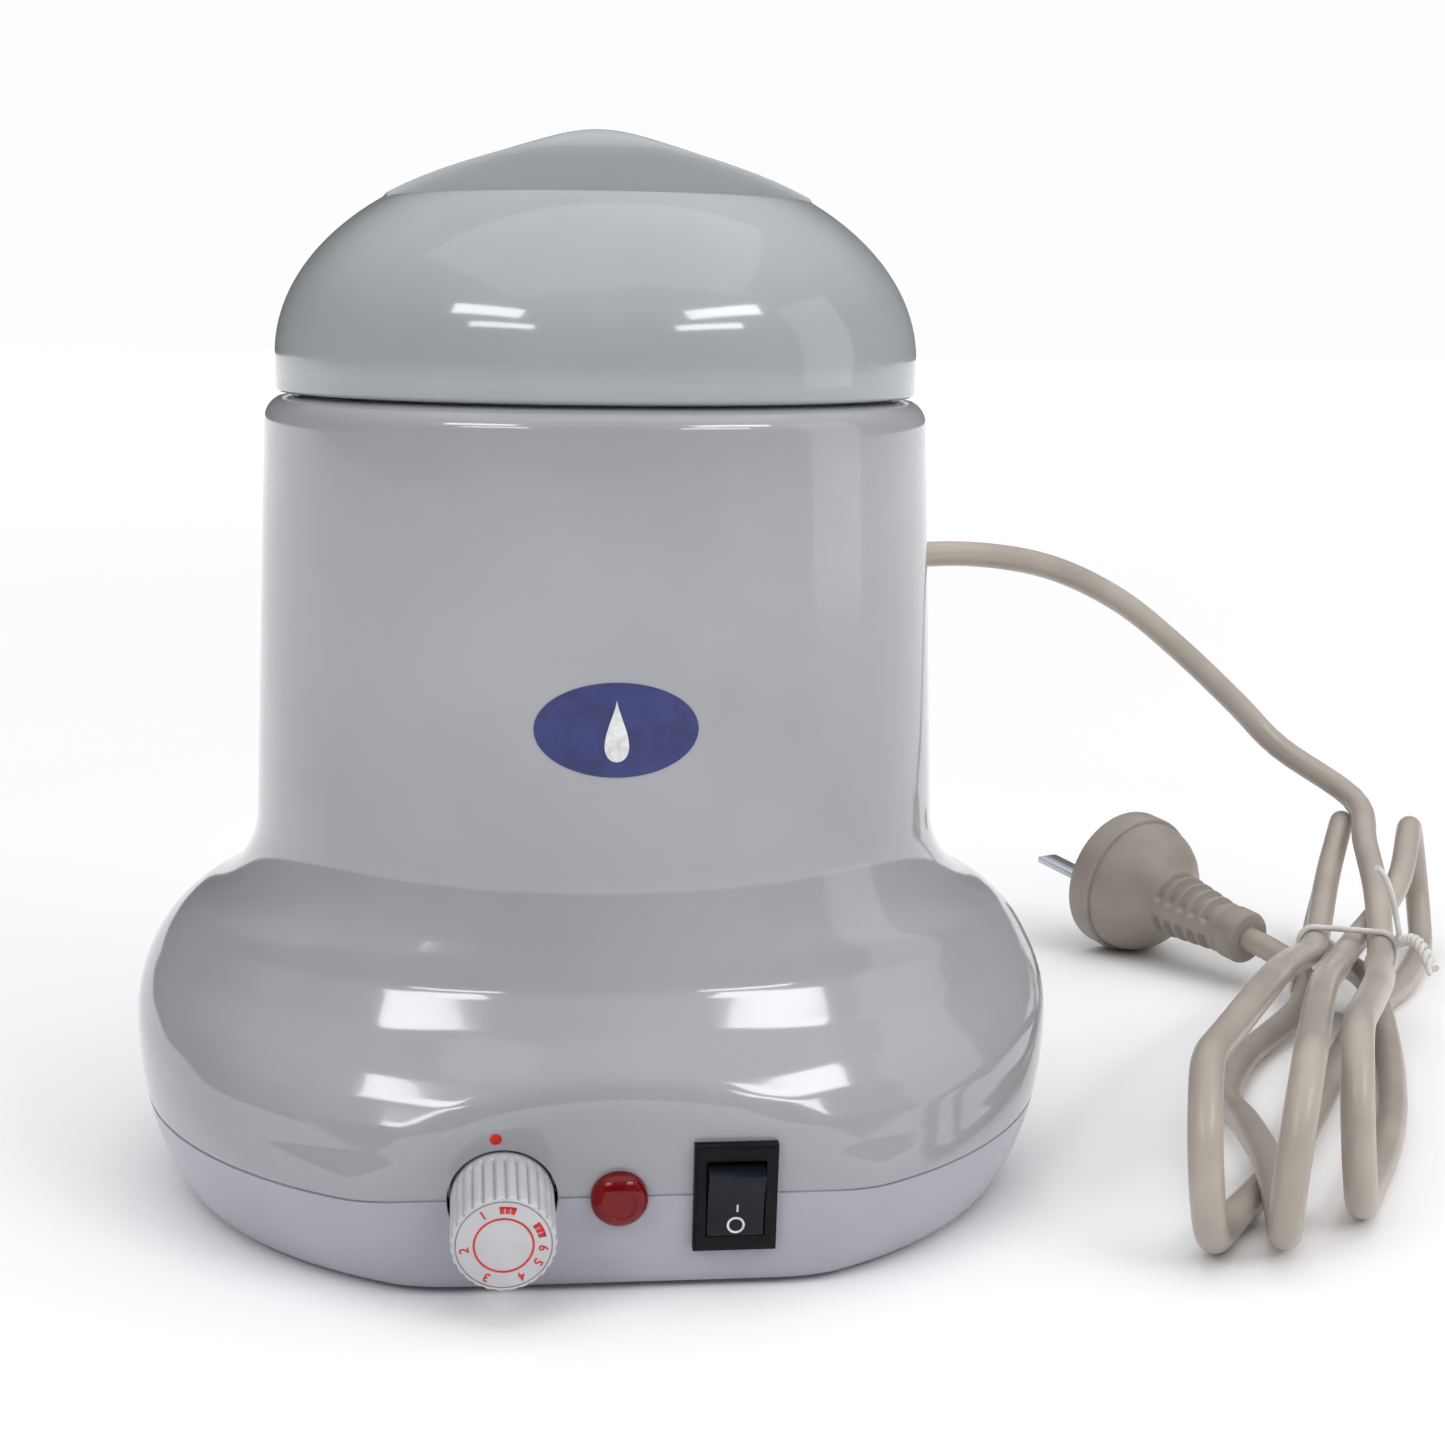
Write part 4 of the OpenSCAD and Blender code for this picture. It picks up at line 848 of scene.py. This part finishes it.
def plug_pieces():
    """Plug: a round pin face with a rim, a domed back and a ribbed neck that ends in a collar."""
    turn = PLUG_WAY.to_track_quat("Z", "Y").to_matrix().to_4x4()
    place = Matrix.Translation(PLUG_FACE) @ turn

    def slotted(angle, r, z):
        """Five slots down each side of the neck, with a plain spine between them."""
        if not 21.5 < z < 41.5:
            return r
        beat = abs(((z - 21.5) / 4.0) % 1.0 - 0.5)
        side = abs(math.sin(angle))
        depth = 1.5 * min(1.0, max(0.0, (0.34 - beat) * 9)) * min(1.0, max(0.0, (side - 0.22) * 7))
        return r - depth

    profile = [(0.05, 0.4), (16.6, 0.4), (16.9, 0.0), (18.4, 0.0), (19.1, 0.3), (19.3, 1.0), (19.3, 6.4), (19.1, 7.0),
               (18.55, 7.35), (18.2, 7.4), (18.15, 7.7), (18.3, 8.0)]
    profile += [(18.1, 9.6), (17.4, 11.8), (16.2, 14.0), (14.4, 16.2), (12.2, 18.2), (10.6, 19.6), (9.7, 20.6),
                (9.2, 21.6)]
    profile += [(9.1 - 2.3 * ((z - 21.6) / 20), z) for z in np.arange(22.0, 41.6, 0.4)]
    profile += [(6.75, 41.9), (6.6, 43.2), (6.9, 43.8), (7.1, 44.4), (7.1, 48.9), (6.8, 49.6), (6.1, 50.0), (3.3, 50.0)]
    points, faces = lathe(profile, 96, place, slotted)
    body = piece("plug_moulding", points, faces, "pvc_moulded_grey", "root", ["plug_body"], 50)
    face_out(body)
    dress_node("plug_pins", "steel_zinc_plated", 0.35)
    return [body, nodes["plug_pins"]]


def tie_pieces(line, thick):
    """Twist tie: a loop drawn round the strands where they are gathered, its ends twisted together at the right."""
    rel = line - np.array(HANK_AT)
    u = rel @ np.array(HANK_WAY)
    v = rel @ np.array(HANK_SIDE)
    crossing = [k for k in range(80, len(line) - 1) if (u[k] - TIE_AT) * (u[k + 1] - TIE_AT) <= 0]
    spots = [(v[k], line[k][2]) for k in crossing]
    rim = []
    for a in range(0, 360, 6):
        way = (math.cos(math.radians(a)), math.sin(math.radians(a)))
        best = max(spots, key=lambda s: s[0] * way[0] + s[1] * way[1])
        rim.append((best[0] + way[0] * (thick / 2 + 0.75), max(0.7, best[1] + way[1] * (thick / 2 + 0.75))))
    rim = [tuple(sum(rim[(k + j) % len(rim)][i] for j in (-1, 0, 1)) / 3 for i in (0, 1)) for k in range(len(rim))]
    loop = wire("tie_loop", [hank_point(TIE_AT + 0.6 * math.sin(k / 9), *p) for k, p in enumerate(rim)], 0.75,
                "tie_white_pvc", "root", True, ["cord_tie"])
    right = min(rim, key=lambda p: p[0])
    knot = hank_point(TIE_AT, right[0] - 0.8, right[1] + 2.0)
    ends = []
    for side in (0, 1):
        path = []
        for k in range(60):
            t = k / 59
            swirl = math.radians(180 * side + 1500 * t)
            out = Vector((math.cos(swirl), 0, math.sin(swirl))) * 0.95
            path.append(knot + Vector((2.6, -15.0, -3.4)) * t + out + Vector((0, 0, 3.4 * math.sin(math.pi * t))))
        if side:
            path = [knot + Vector((-9.5, -6.0, 20.5)) * (1 - t) + Vector((0, 0, 4 * math.sin(math.pi * t)))
                    for t in np.linspace(0, 1, 16)[:-1]] + path
        ends.append(wire(f"tie_end_{side + 1}", path, 0.75, "tie_white_pvc", "root"))
    return [loop] + ends


class WAXHEATER_OT_cord(bpy.types.Operator):
    """Mains cord: a lead out of its bending relief, folded into a tied hank, and the plug on its end"""

    bl_idname = "waxheater.cord"
    bl_label = "Cord and plug"

    def execute(self, context):
        sizes = context.scene.waxheater_cord
        thick = sizes.diameter / MM
        line = relaxed(spaced(cord_route(), 4.0), thick, sizes.settle_rounds)
        cord = wire("mains_cord", line, thick / 2, "pvc_warm_grey", "root", False,
                    ["cord_lead", "cord_hank", "cord_tail"])
        pieces = plug_pieces() + tie_pieces(line, thick)
        dress_node("cord_gland", "pvc_moulded_grey", 0.25)
        dress_node("gland_nut", "nylon_black", 0.2)
        return {"FINISHED"}


# ---- Pot, well and workings ----


class WAXHEATER_OT_pot(bpy.types.Operator):
    """Lift-out wax pot with its ears, rivets and wire bail"""

    bl_idname = "waxheater.pot"
    bl_label = "Wax pot"

    def execute(self, context):
        dress_node("wax_pot", "aluminium_spun", 0.12)
        for name in ("pot_ears", "ear_rivets", "bail"):
            dress_node(name, "steel_zinc_plated", 0.15)
        return {"FINISHED"}


class WAXHEATER_OT_well(bpy.types.Operator):
    """Heated well with its band, clamp screw, sleeve and screws"""

    bl_idname = "waxheater.well"
    bl_label = "Heated well"

    def execute(self, context):
        for name, look, bevel in (
            ("heating_well", "aluminium_spun", 0.15), ("well_screws", "steel_zinc_plated", 0.1),
            ("heater_band", "mica_sheet_brown", 0.1), ("heater_clamp_screw", "steel_zinc_plated", 0.1),
            ("insulation_sleeve", "glass_wool_needled", 0.4),
        ):
            dress_node(name, look, bevel)
        return {"FINISHED"}


class WAXHEATER_OT_workings(bpy.types.Operator):
    """Thermostat, terminals, fuse and wires inside the shells"""

    bl_idname = "waxheater.workings"
    bl_label = "Inside workings"

    def execute(self, context):
        for name, look, bevel in (
            ("thermostat", "phenolic_brown_black", 0.3), ("thermostat_bushing", "brass_turned", 0.1),
            ("thermostat_bracket", "steel_zinc_plated", 0.1), ("bracket_screws", "steel_zinc_plated", 0.1),
            ("capillary", "copper_drawn", 0), ("terminal_block", "nylon_natural", 0.3),
            ("terminal_screws", "steel_zinc_plated", 0.08), ("thermal_fuse", "ceramic_fuse_white", 0.1),
            ("earth_tag", "brass_turned", 0.08), ("earth_screw", "steel_zinc_plated", 0.08),
            ("wire_live", "pvc_wire_brown", 0), ("wire_neutral", "pvc_wire_blue", 0),
            ("wire_earth", "pvc_wire_green", 0), ("wire_switch", "pvc_wire_brown", 0),
            ("wire_lamp", "pvc_wire_blue", 0), ("wire_heater", "pvc_wire_red", 0),
        ):
            dress_node(name, look, bevel)
        return {"FINISHED"}


# ---- Stage ----


class WAXHEATER_OT_stage(bpy.types.Operator):
    """Camera, window-shaped softboxes, pale sky and floor"""

    bl_idname = "waxheater.stage"
    bl_label = "Stage"

    def execute(self, context):
        look = context.scene.waxheater_stage
        scene = context.scene
        lens = bpy.data.cameras.new("camera")
        lens.lens = look.focal_length
        lens.sensor_width = 36
        lens.clip_start = 0.01
        camera = bpy.data.objects.new("camera", lens)
        scene.collection.objects.link(camera)
        scene.camera = camera
        turn, tilt, roll = math.radians(6.15), math.radians(9.8), math.radians(0.7)
        stand = math.radians(3.1)
        ahead = Vector((math.sin(turn) * math.cos(tilt), math.cos(turn) * math.cos(tilt), -math.sin(tilt)))
        right = Vector((math.cos(turn), -math.sin(turn), 0))
        upward = right.cross(ahead)
        side = right * math.cos(roll) + upward * math.sin(roll)
        crown = upward * math.cos(roll) - right * math.sin(roll)
        place = Matrix((side, crown, -ahead)).transposed().to_4x4()
        place.translation = (-0.486 * math.sin(stand), -0.486 * math.cos(stand), 0.175)
        camera.matrix_world = place
        target = Vector((0, 0, 0.09))
        lamps = (
            # name, azimuth from the front, elevation, distance, width, height, watts, colour
            ("window_left_upper", -46, 37, 1.9, 0.78, 0.20, look.window_power, "#ffffff"),
            ("window_left_lower", -38, 28, 1.9, 0.72, 0.11, look.window_power * 0.5, "#ffffff"),
            ("window_right_upper", 47, 37, 1.9, 0.86, 0.20, look.window_power * 1.1, "#ffffff"),
            ("window_right_lower", 38, 28, 1.9, 0.76, 0.12, look.window_power * 0.58, "#ffffff"),
            ("ceiling", 12, 84, 2.1, 3.0, 2.2, look.ceiling_power, "#fbfbff"),
            ("right_card", 84, 12, 1.6, 0.7, 1.4, look.card_power, "#ffffff"),
        )
        for name, azimuth, height, away, wide, tall, watts, tone in lamps:
            lamp = bpy.data.lights.new(name, "AREA")
            lamp.shape = "RECTANGLE"
            lamp.size, lamp.size_y = wide, tall
            lamp.energy = watts
            lamp.color = linear(tone)[:3]
            holder = bpy.data.objects.new(name, lamp)
            a, e = math.radians(azimuth), math.radians(height)
            aim = Vector((math.sin(a) * math.cos(e), -math.cos(a) * math.cos(e), math.sin(e)))
            holder.location = target + away * aim
            holder.rotation_euler = (target - holder.location).to_track_quat("-Z", "Y").to_euler()
            scene.collection.objects.link(holder)
        sky = bpy.data.worlds.new("pale_sky")
        scene.world = sky
        sky.use_nodes = True
        surround = sky.node_tree.nodes["Background"]
        surround.inputs["Color"].default_value = linear("#fdfdff")
        # The surround is white paper to the eye and a dim room to everything it lights
        air = sky.node_tree
        way = add(air, "SeparateXYZ", None, {"Vector": add(air, "TexCoord").outputs["Generated"]})
        high = add(air, "MapRange", {"From Min": 0.25, "From Max": 0.9, "To Min": look.sky, "To Max": look.zenith},
                   {"Value": way.outputs["Z"]}, interpolation_type="SMOOTHSTEP")
        right_hand = add(air, "MapRange", {"From Min": -0.1, "To Max": look.sky * 2}, {"Value": way.outputs["X"]})
        room = add(air, "Math", None, {0: high.outputs["Result"], 1: right_hand.outputs["Result"]}, operation="ADD")
        seen = add(air, "LightPath").outputs["Is Camera Ray"]
        level = add(air, "MapRange", {"To Max": 1.0}, {"Value": seen, "To Min": room.outputs["Value"]})
        air.links.new(level.outputs["Result"], surround.inputs["Strength"])
        floor_mesh = bpy.data.meshes.new("floor")
        reach = 9.0
        floor_mesh.from_pydata([(-reach, -reach, 0), (reach, -reach, 0), (reach, reach, 0), (-reach, reach, 0)], [],
                               [(0, 1, 2, 3)])
        floor = bpy.data.objects.new("floor", floor_mesh)
        scene.collection.objects.link(floor)
        paper, tree = blank("paper_matte_white")
        place_on = add(tree, "TexCoord").outputs["Object"]
        fibre = add(tree, "TexNoise", {"Scale": per_metre(3.0), "Detail": 3.0}, {"Vector": place_on})
        relief = add(tree, "Bump", {"Strength": 0.03, "Distance": 0.0005}, {"Height": fibre.outputs["Fac"]})
        # Away from the heater the paper glows: painted light, an emission that grows with distance from the heater and
        # brightens the far floor
        far = add(tree, "VectorMath", None, {0: place_on}, operation="LENGTH")
        painted_glow = add(tree, "MapRange", {"From Min": 0.45, "From Max": 2.6, "To Max": 0.34},
                   {"Value": far.outputs["Value"]})
        shader = add(tree, "BsdfPrincipled", {"Base Color": linear("#fdfdfd"), "Roughness": 0.85,
                                              "Emission Color": linear("#ffffff"), "Specular IOR Level": 0.2},
                     {"Normal": relief.outputs["Normal"], "Emission Strength": painted_glow.outputs["Result"]})
        add(tree, "OutputMaterial", None, {"Surface": shader.outputs["BSDF"]})
        floor.data.materials.append(paper)
        scene.view_settings.view_transform = "Standard"
        scene.view_settings.exposure = look.exposure
        return {"FINISHED"}


# ---- Settings, panel and registration ----


class WaxheaterShellSettings(bpy.types.PropertyGroup):
    """Sizes of the moulded shells"""

    wall: bpy.props.FloatProperty(name="Wall", description="Thickness of the moulded walls", default=2.5 * MM,
                                  min=0.001, max=0.005, subtype="DISTANCE", unit="LENGTH")
    panel_blend: bpy.props.FloatProperty(name="Panel blend", description="Width of the soft edge round the panel",
                                         default=3.2 * MM, min=0.001, max=0.01, subtype="DISTANCE", unit="LENGTH")
    dome_height: bpy.props.FloatProperty(name="Dome height", description="Rise of the lid above its rim",
                                         default=40.9 * MM, min=0.03, max=0.05, subtype="DISTANCE", unit="LENGTH")


class WaxheaterPanelSettings(bpy.types.PropertyGroup):
    """Sizes of the controls and the printed drop"""

    ribs: bpy.props.IntProperty(name="Ribs", description="Number of ribs round the knob", default=27, min=12, max=48)
    knob_height: bpy.props.FloatProperty(name="Knob height", description="Height of the knob's face above the panel",
                                         default=15.5 * MM, min=0.01, max=0.02, subtype="DISTANCE", unit="LENGTH")
    badge_height: bpy.props.FloatProperty(name="Badge height", description="Height of the printed oval",
                                          default=17 * MM, min=0.005, max=0.03, subtype="DISTANCE", unit="LENGTH")


class WaxheaterCordSettings(bpy.types.PropertyGroup):
    """Sizes of the cord"""

    diameter: bpy.props.FloatProperty(name="Diameter", description="Outer diameter of the cord", default=6.5 * MM,
                                      min=0.004, max=0.009, subtype="DISTANCE", unit="LENGTH")
    settle_rounds: bpy.props.IntProperty(name="Settling", description="Rounds in which the strands push apart",
                                         default=160, min=0, max=600)


class WaxheaterStageSettings(bpy.types.PropertyGroup):
    """Lens, lights and exposure"""

    focal_length: bpy.props.FloatProperty(name="Lens", description="Focal length on a 36 mm sensor", default=59.8,
                                          min=20, max=120, unit="CAMERA")
    window_power: bpy.props.FloatProperty(name="Windows", description="Power of each main softbox", default=4.4,
                                          min=0, subtype="POWER", unit="POWER")
    ceiling_power: bpy.props.FloatProperty(name="Ceiling", description="Power of the ceiling panel", default=10.0,
                                           min=0, subtype="POWER", unit="POWER")
    card_power: bpy.props.FloatProperty(name="Cards", description="Power of the reflecting cards", default=2.0,
                                        min=0, subtype="POWER", unit="POWER")
    sky: bpy.props.FloatProperty(name="Surround", description="Light from the room all round", default=0.12, min=0,
                                 max=5, subtype="FACTOR")
    zenith: bpy.props.FloatProperty(name="Overhead", description="Light from straight above", default=1.0, min=0,
                                    max=5, subtype="FACTOR")
    exposure: bpy.props.FloatProperty(name="Exposure", description="Exposure in stops", default=0.0, min=-4, max=4)


class WAXHEATER_PT_panel(bpy.types.Panel):
    """Lists the pieces and their sizes in the sidebar"""

    bl_idname = "WAXHEATER_PT_panel"
    bl_label = "Wax heater"
    bl_space_type = "VIEW_3D"
    bl_region_type = "UI"
    bl_category = "Wax heater"

    def draw(self, context):
        layout = self.layout
        for group in ("waxheater_shell", "waxheater_panel", "waxheater_cord", "waxheater_stage"):
            settings = getattr(context.scene, group)
            box = layout.box()
            for key in settings.__annotations__:
                box.prop(settings, key)
        for operator in OPERATORS:
            layout.operator(operator.bl_idname)


SETTINGS = {
    "waxheater_shell": WaxheaterShellSettings,
    "waxheater_panel": WaxheaterPanelSettings,
    "waxheater_cord": WaxheaterCordSettings,
    "waxheater_stage": WaxheaterStageSettings,
}
OPERATORS = (
    WAXHEATER_OT_stage, WAXHEATER_OT_cord, WAXHEATER_OT_shells, WAXHEATER_OT_lid, WAXHEATER_OT_controls,
    WAXHEATER_OT_badge, WAXHEATER_OT_pot, WAXHEATER_OT_well, WAXHEATER_OT_workings,
)


def register():
    for cls in (*SETTINGS.values(), *OPERATORS, WAXHEATER_PT_panel):
        bpy.utils.register_class(cls)
    for key, cls in SETTINGS.items():
        setattr(bpy.types.Scene, key, bpy.props.PointerProperty(type=cls))


def unregister():
    for key in SETTINGS:
        delattr(bpy.types.Scene, key)
    for cls in (WAXHEATER_PT_panel, *OPERATORS[::-1], *list(SETTINGS.values())[::-1]):
        bpy.utils.unregister_class(cls)


def main():
    register()
    for operator in OPERATORS:
        group, call = operator.bl_idname.split(".")
        getattr(getattr(bpy.ops, group), call)()


if __name__ == "__main__":
    main()
